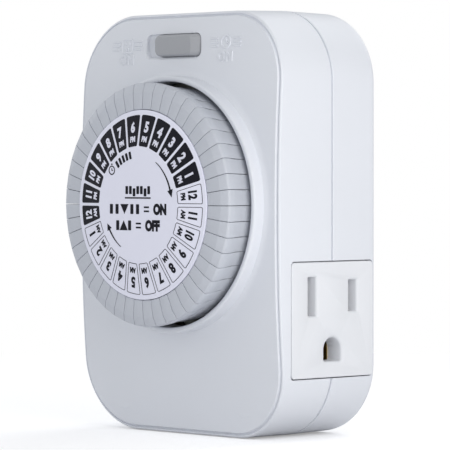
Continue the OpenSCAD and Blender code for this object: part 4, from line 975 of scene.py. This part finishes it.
class TIMER_OT_label(bpy.types.Operator):
    """Dial label: a film disc with a soft rim, and its print as thin layers: cells bounded by two
    circles and two lines beside the spokes, numbers, arrows and pictograms"""
    bl_idname = "timer.label"
    bl_label = "Dial label"

    def execute(self, context):
        size = sizes("dial")
        soft, near = 0.08, 0.15
        edges = [bend + past for bend in (size.slope_outside, size.slope_inside)
                 for past in (near, 0, -near)] + [size.slope_inside / 2]
        rim = [(0, size.label_thickness), (0, soft), (0.3 * soft, 0.3 * soft), (soft, 0)]
        disc = turned([(size.label_radius - inset, size.label - drop) for inset, drop in rim]
                      + [(radius, size.label + label_lift(size, radius)) for radius in edges],
                      (0, size.height), 192)
        place_piece(new_mesh("dial_film", disc), "dial", "label", "dial_label")
        dark, pale = self.hours(size)
        dark += self.arrows(size) + self.legend(size)
        for kind, shapes in (("dark", dark), ("pale", pale)):
            place_piece(new_mesh("dial_print_" + kind, joined(shapes)), "dial", "label",
                        finish=finish_for(kind + "_print"))
        return {"FINISHED"}

    @staticmethod
    def cell(size):
        """A cell's outline about the dial's axis, its middle upwards: the inner and outer circles
        between two lines half a gap inside the spokes."""
        outline = []
        for radius, start, count in ((size.cell_inside, 1, 7), (size.cell_outside, -1, 9)):
            limit = np.pi / HOURS - math.asin(size.cell_gap / 2 / radius)
            turn = limit * np.linspace(start, -start, count)
            outline.append(np.c_[np.sin(turn), np.cos(turn)] * radius)
        corners = np.concatenate(outline)[::-1]
        radii = np.zeros(len(corners))
        radii[[0, 8, 9, 15]] = 0.38
        return rounded_polygon(corners, radii, 3)

    def hours(self, size):
        """The dark and the pale print of the cells: the second half of the day is pale on dark."""
        dark, pale, words = [], [], {}
        cell, way = self.cell(size)
        for hour in range(HOURS):
            angle = (hour + HOURS // 2) * 360 / HOURS + 360 / PINS
            is_dark = hour > 12 or hour == 0
            dark.append(inked(size, cell, angle) if is_dark
                        else band(size, cell, cell - 0.13 * way, angle))
            number = str((hour - 1) % 12 + 1)
            for word, height, squeeze, weight, radius in (
                    (number, 2.5, 0.72 if len(number) == 2 else 0.85, 0.05, 17.45),
                    ("AM" if hour < 12 else "PM", 1.3, 0.78, 0.055, 14.75)):
                if word not in words:
                    words[word] = lettering(word, height, squeeze, weight)
                into = pale if is_dark else dark
                into.append(printed(size, words[word], angle, radius, is_dark))
        return dark, pale

    @staticmethod
    def arrows(size):
        """Two arrows in the direction of the dial's turning: a band that grows, and a head."""
        shapes = []
        for radius, start, end, thick, head in ((11.2, 58, 17, 0.5, 1.6),
                                                (11.0, -121, -150, 0.45, 1.4)):
            shapes.append(inked(size, swept_band(radius, start, end, 0.16, thick)))
            turn = math.radians(end)
            way = np.array([math.cos(turn), math.sin(turn)])
            ahead = np.array([way[1], -way[0]])
            tip = way * radius
            shapes.append(inked(size, np.array([
                tip + way * head * 0.55 - ahead * 0.1, tip - way * head * 0.55 - ahead * 0.1,
                tip + ahead * head])))
        return shapes

    @staticmethod
    def legend(size):
        """A clock, pictograms of pins, and the keys for ON and OFF."""
        shapes = []

        def bar(wide, tall, radius, across=0.0, up=0.0, angle=90.0, out=0.0):
            flat = rounded(wide / 2, tall / 2, radius, 3)[0] + [across, up]
            shapes.append(inked(size, flat, angle, out))

        for angle in (127, 121, 115, 109, 103):
            bar(0.72, 1.7, 0.16, angle=angle, out=11.3)
        clock = np.array([-8.7, 7.7])
        shapes.append(band(size, 1.05 * unit_circle() + clock, 0.8 * unit_circle() + clock))
        for wide, tall, radius, place in ((0.2, 0.6, 0.09, (0, 0.2)), (0.5, 0.2, 0.09, (0.15, 0)),
                                          (0.44, 0.32, 0.1, (0, 1.35))):
            bar(wide, tall, radius, *(clock + place))
        for k in range(-3, 4):
            bar(0.86, 1.8, 0.16, k * 1.22, 2.8 if k in (-1, 2) else 3.3)
        bar(8.6, 0.32, 0.13, 0, 1.55)
        room = 4.6
        for up, word, sign, pins in ((-0.95, "ON", -1, (-4.4, -2.5, 2.5, 4.4)),
                                     (-4.6, "OFF", 1, (-2.0, 2.0))):
            points, quads, others = lettering(word, 2.6, 0.86, 0.07)
            wide = np.ptp(points[:, 0])
            reach = max(pins) + 0.6
            start = reach - (2 * reach + room + wide) / 2
            for pin in pins:
                bar(1.0, 2.2, 0.16, pin + start, up)
            arrow = np.array([(1.35, -1.1), (0, 1.1), (-1.35, -1.1)])[::sign] * [1, sign]
            shapes.append(inked(size, arrow + [start, up]))
            for line in (-0.45, 0.45):
                bar(1.7, 0.38, 0.12, reach + 2.35 + start, line + up)
            points = points + [start + reach + room + wide / 2, up, 0]
            shapes.append(printed(size, (points, quads, others)))
        return shapes


class TIMER_OT_plug(bpy.types.Operator):
    """Plug: flat blades with round edges and a hole, and a ground pin turned from a profile"""
    bl_idname = "timer.plug"
    bl_label = "Plug"

    def execute(self, context):
        soft, start, tip, taper = 0.18, 5.5, -17.5, 1.1
        hole_out, hole_radius = -11.9, 1.6
        circle = unit_circle(40)
        for name, across, wide, _ in BLADES:
            half = wide / 2
            points, way = rounded_polygon(
                [(start, -half), (start, half), (tip + taper, half), (tip, half - taper),
                 (tip, taper - half), (tip + taper, -half)], (0.2, 0.2, 0.6, 0.6, 0.6, 0.6))
            rings = []
            for side, reach, inset in soft_sweep(soft, 5):
                out, up = (points + [0, BLADE_HEIGHT] - inset * way).T
                rings.append(to_row(across + side * (HALF_BLADE - soft) + reach, up, out))
            hole = sideways_block((hole_radius * circle, circle),
                                  [(0, across - 2), (0, across + 2)], (hole_out, BLADE_HEIGHT), 1)
            foot = upright_block(rounded(HALF_BLADE, half + 2, 0.2, 3), [(0, 2.2), (0, 3.2)],
                                 (across, BLADE_HEIGHT))
            mesh = carved(name + "_strip", loft(rings), [foot], [hole])
            place_piece(mesh, "housing", "brass", name)
        radius, tip, collar, root = 2.38, -20.6, 3.0, 4.2
        profile = [(radius * c, tip + radius * (1 - s)) for c, s in arc(89.5, 0, 14)]
        profile += [(radius, -18.0), (radius, -0.15), (radius + 0.05, -0.04), (collar, 0.0),
                    (collar, 2.2), (root, 2.2), (root, 4.2)]
        mesh = new_mesh("ground_pin_turned", turned(profile, (0, 0), 64))
        place_piece(mesh, "housing", "brass", "ground_pin")
        return {"FINISHED"}


class TIMER_OT_finishes(bpy.types.Operator):
    """Finishes for every carried-over node, by its material slot"""
    bl_idname = "timer.finishes"
    bl_label = "Inner finishes"

    def execute(self, context):
        slots = {part["node"]: part["material_slot"] for part in frame["record"]["subparts"]}
        for name, node in frame["nodes"].items():
            finish = finish_for(slots[name])
            if not node.material_slots:
                node.data.materials.append(finish)
            for holder in node.material_slots:
                holder.material = finish
        return {"FINISHED"}


# Each lamp's azimuth, elevation, distance, width, power and colour.
WARM, COOL = (1.0, 0.985, 0.96), (0.97, 0.985, 1.0)
LAMPS = {
    "key_lamp": (73, 11, 0.22, 0.14, 0.2, WARM),
    "fill_lamp": (-20, 12, 1.3, 1.0, 1.75, COOL),
    "back_lamp": (190, 40, 1.2, 0.9, 4.5, COOL),
    "left_lamp": (280, 25, 1.3, 0.9, 3.0, COOL),
    "top_lamp": (20, 68, 1.2, 0.8, 0.4, COOL),
}


class TIMER_OT_studio(bpy.types.Operator):
    """Studio: a pale floor, white surroundings, soft lamps and the camera"""
    bl_idname = "timer.studio"
    bl_label = "Studio"

    def execute(self, context):
        scene = context.scene
        scene.view_settings.view_transform = "Standard"
        self.camera(scene)
        self.world(scene)
        self.floor(scene)
        for name, (azimuth, elevation, far, wide, power, tint) in LAMPS.items():
            light = bpy.data.lights.new(name, "AREA")
            light.shape, light.size, light.energy, light.color = "SQUARE", wide, power, tint
            self.aim(scene, name, light, (0, -0.02, 0), azimuth, elevation, far)
        return {"FINISHED"}

    @staticmethod
    def aim(scene, name, data, target, azimuth, elevation, far, roll=0.0):
        """Puts a camera or lamp at a distance from a target, facing it: its back is the direction
        outwards, its right is level, and both turn by the roll."""
        a, e, r = np.radians([azimuth, elevation, roll])
        back = np.array([np.sin(a) * np.cos(e), -np.cos(a) * np.cos(e), np.sin(e)])
        right = np.array([np.cos(a), np.sin(a), 0.0])
        up = np.cross(back, right)
        rows = np.c_[right * np.cos(r) + up * np.sin(r), up * np.cos(r) - right * np.sin(r), back,
                     target + back * far]
        thing = bpy.data.objects.new(name, data)
        scene.collection.objects.link(thing)
        thing.matrix_world = Matrix([*rows.tolist(), [0, 0, 0, 1]])
        return thing

    def camera(self, scene):
        """The camera at the photograph's place, with its focal length and width in pixels."""
        sensor, focal, width = 36.0, 3207.843, 450
        lens = bpy.data.cameras.new("camera")
        lens.sensor_width, lens.lens = sensor, sensor * focal / width
        lens.clip_start, lens.clip_end = 0.05, 50.0
        scene.camera = self.aim(scene, "camera", lens, (0, -0.016321, -0.00093),
                                46.601, 1.066, 0.733384, -0.024)

    @staticmethod
    def world(scene):
        """White to the camera, plainer as light."""
        world = bpy.data.worlds.new("studio")
        world.use_nodes = True
        scene.world = world
        tree = world.node_tree
        tree.nodes.clear()
        path = put(tree, "LightPath").outputs
        seen = sums(tree, "MAXIMUM", path["Is Camera Ray"], path["Is Transmission Ray"])
        plain, white = (put(tree, "Background", {"Color": tint, "Strength": level}).outputs[0]
                        for tint, level in (((0.97, 0.985, 1, 1), 0.52), ((1, 1, 1, 1), 1.0)))
        mix = put(tree, "MixShader", {0: seen, 1: plain, 2: white})
        put(tree, "OutputWorld", {"Surface": mix.outputs[0]})

    @staticmethod
    def floor(scene):
        """A pale round floor with the object's shadow, which turns to plain white outwards."""
        reach, height, count = 0.6, -0.0481, 64
        circle = reach * unit_circle(count)
        mesh = bpy.data.meshes.new("floor")
        mesh.from_pydata(np.c_[circle, np.full(count, height)].tolist(), [], [list(range(count))])
        floor = bpy.data.objects.new("floor", mesh)
        scene.collection.objects.link(floor)
        finish, tree, shader, where = new_finish("floor")
        seen = put(tree, "LightPath").outputs["Is Camera Ray"]
        feed(tree, shader, {
            "Base Color": (0.86, 0.86, 0.87, 1), "Roughness": 0.9, "Specular IOR Level": 0.0,
            "Emission Color": (1, 1, 1, 1),
            "Emission Strength": sums(tree, "MULTIPLY", seen, 0.3)})
        away = put(tree, "VectorMath", {0: where}, operation="LENGTH").outputs["Value"]
        share = sums(tree, "MULTIPLY", seen, spread(tree, away, 0.09, 0.3, 0.0, 1.0))
        plain = put(tree, "Emission", {"Color": (1, 1, 1, 1)}).outputs[0]
        mix = put(tree, "MixShader", {0: share, 1: shader.outputs[0], 2: plain})
        feed(tree, tree.nodes["Material Output"], {"Surface": mix.outputs[0]})
        mesh.materials.append(finish)


class TIMER_PT_panel(bpy.types.Panel):
    """The timer's pieces, in the order they are made"""
    bl_idname = "TIMER_PT_panel"
    bl_label = "Plug-in timer switch"
    bl_space_type = "VIEW_3D"
    bl_region_type = "UI"
    bl_category = "Timer"

    def draw(self, context):
        for operator in OPERATORS:
            self.layout.operator(operator.bl_idname)
        for name, group in GROUPS.items():
            box = self.layout.box()
            box.label(text=group.__doc__)
            for key in group.__annotations__:
                box.prop(getattr(context.scene, "timer_" + name), key)


OPERATORS = (TIMER_OT_front_shell, TIMER_OT_rear_shell, TIMER_OT_outlets, TIMER_OT_marks,
             TIMER_OT_knob, TIMER_OT_pins, TIMER_OT_label, TIMER_OT_plug, TIMER_OT_finishes,
             TIMER_OT_studio)


def register():
    """Registers the classes and puts the sizes and colours on the scene."""
    for name, group in GROUPS.items():
        bpy.utils.register_class(group)
        setattr(bpy.types.Scene, "timer_" + name, bpy.props.PointerProperty(type=group))
    for made in OPERATORS + (TIMER_PT_panel,):
        bpy.utils.register_class(made)


def unregister():
    """Takes away what register added."""
    for made in (TIMER_PT_panel,) + OPERATORS[::-1]:
        bpy.utils.unregister_class(made)
    for name, group in reversed(GROUPS.items()):
        delattr(bpy.types.Scene, "timer_" + name)
        bpy.utils.unregister_class(group)


def main():
    """Registers the add-on and makes every piece in order."""
    register()
    for operator in OPERATORS:
        area, name = operator.bl_idname.split(".")
        getattr(getattr(bpy.ops, area), name)()


if __name__ == "__main__":
    main()
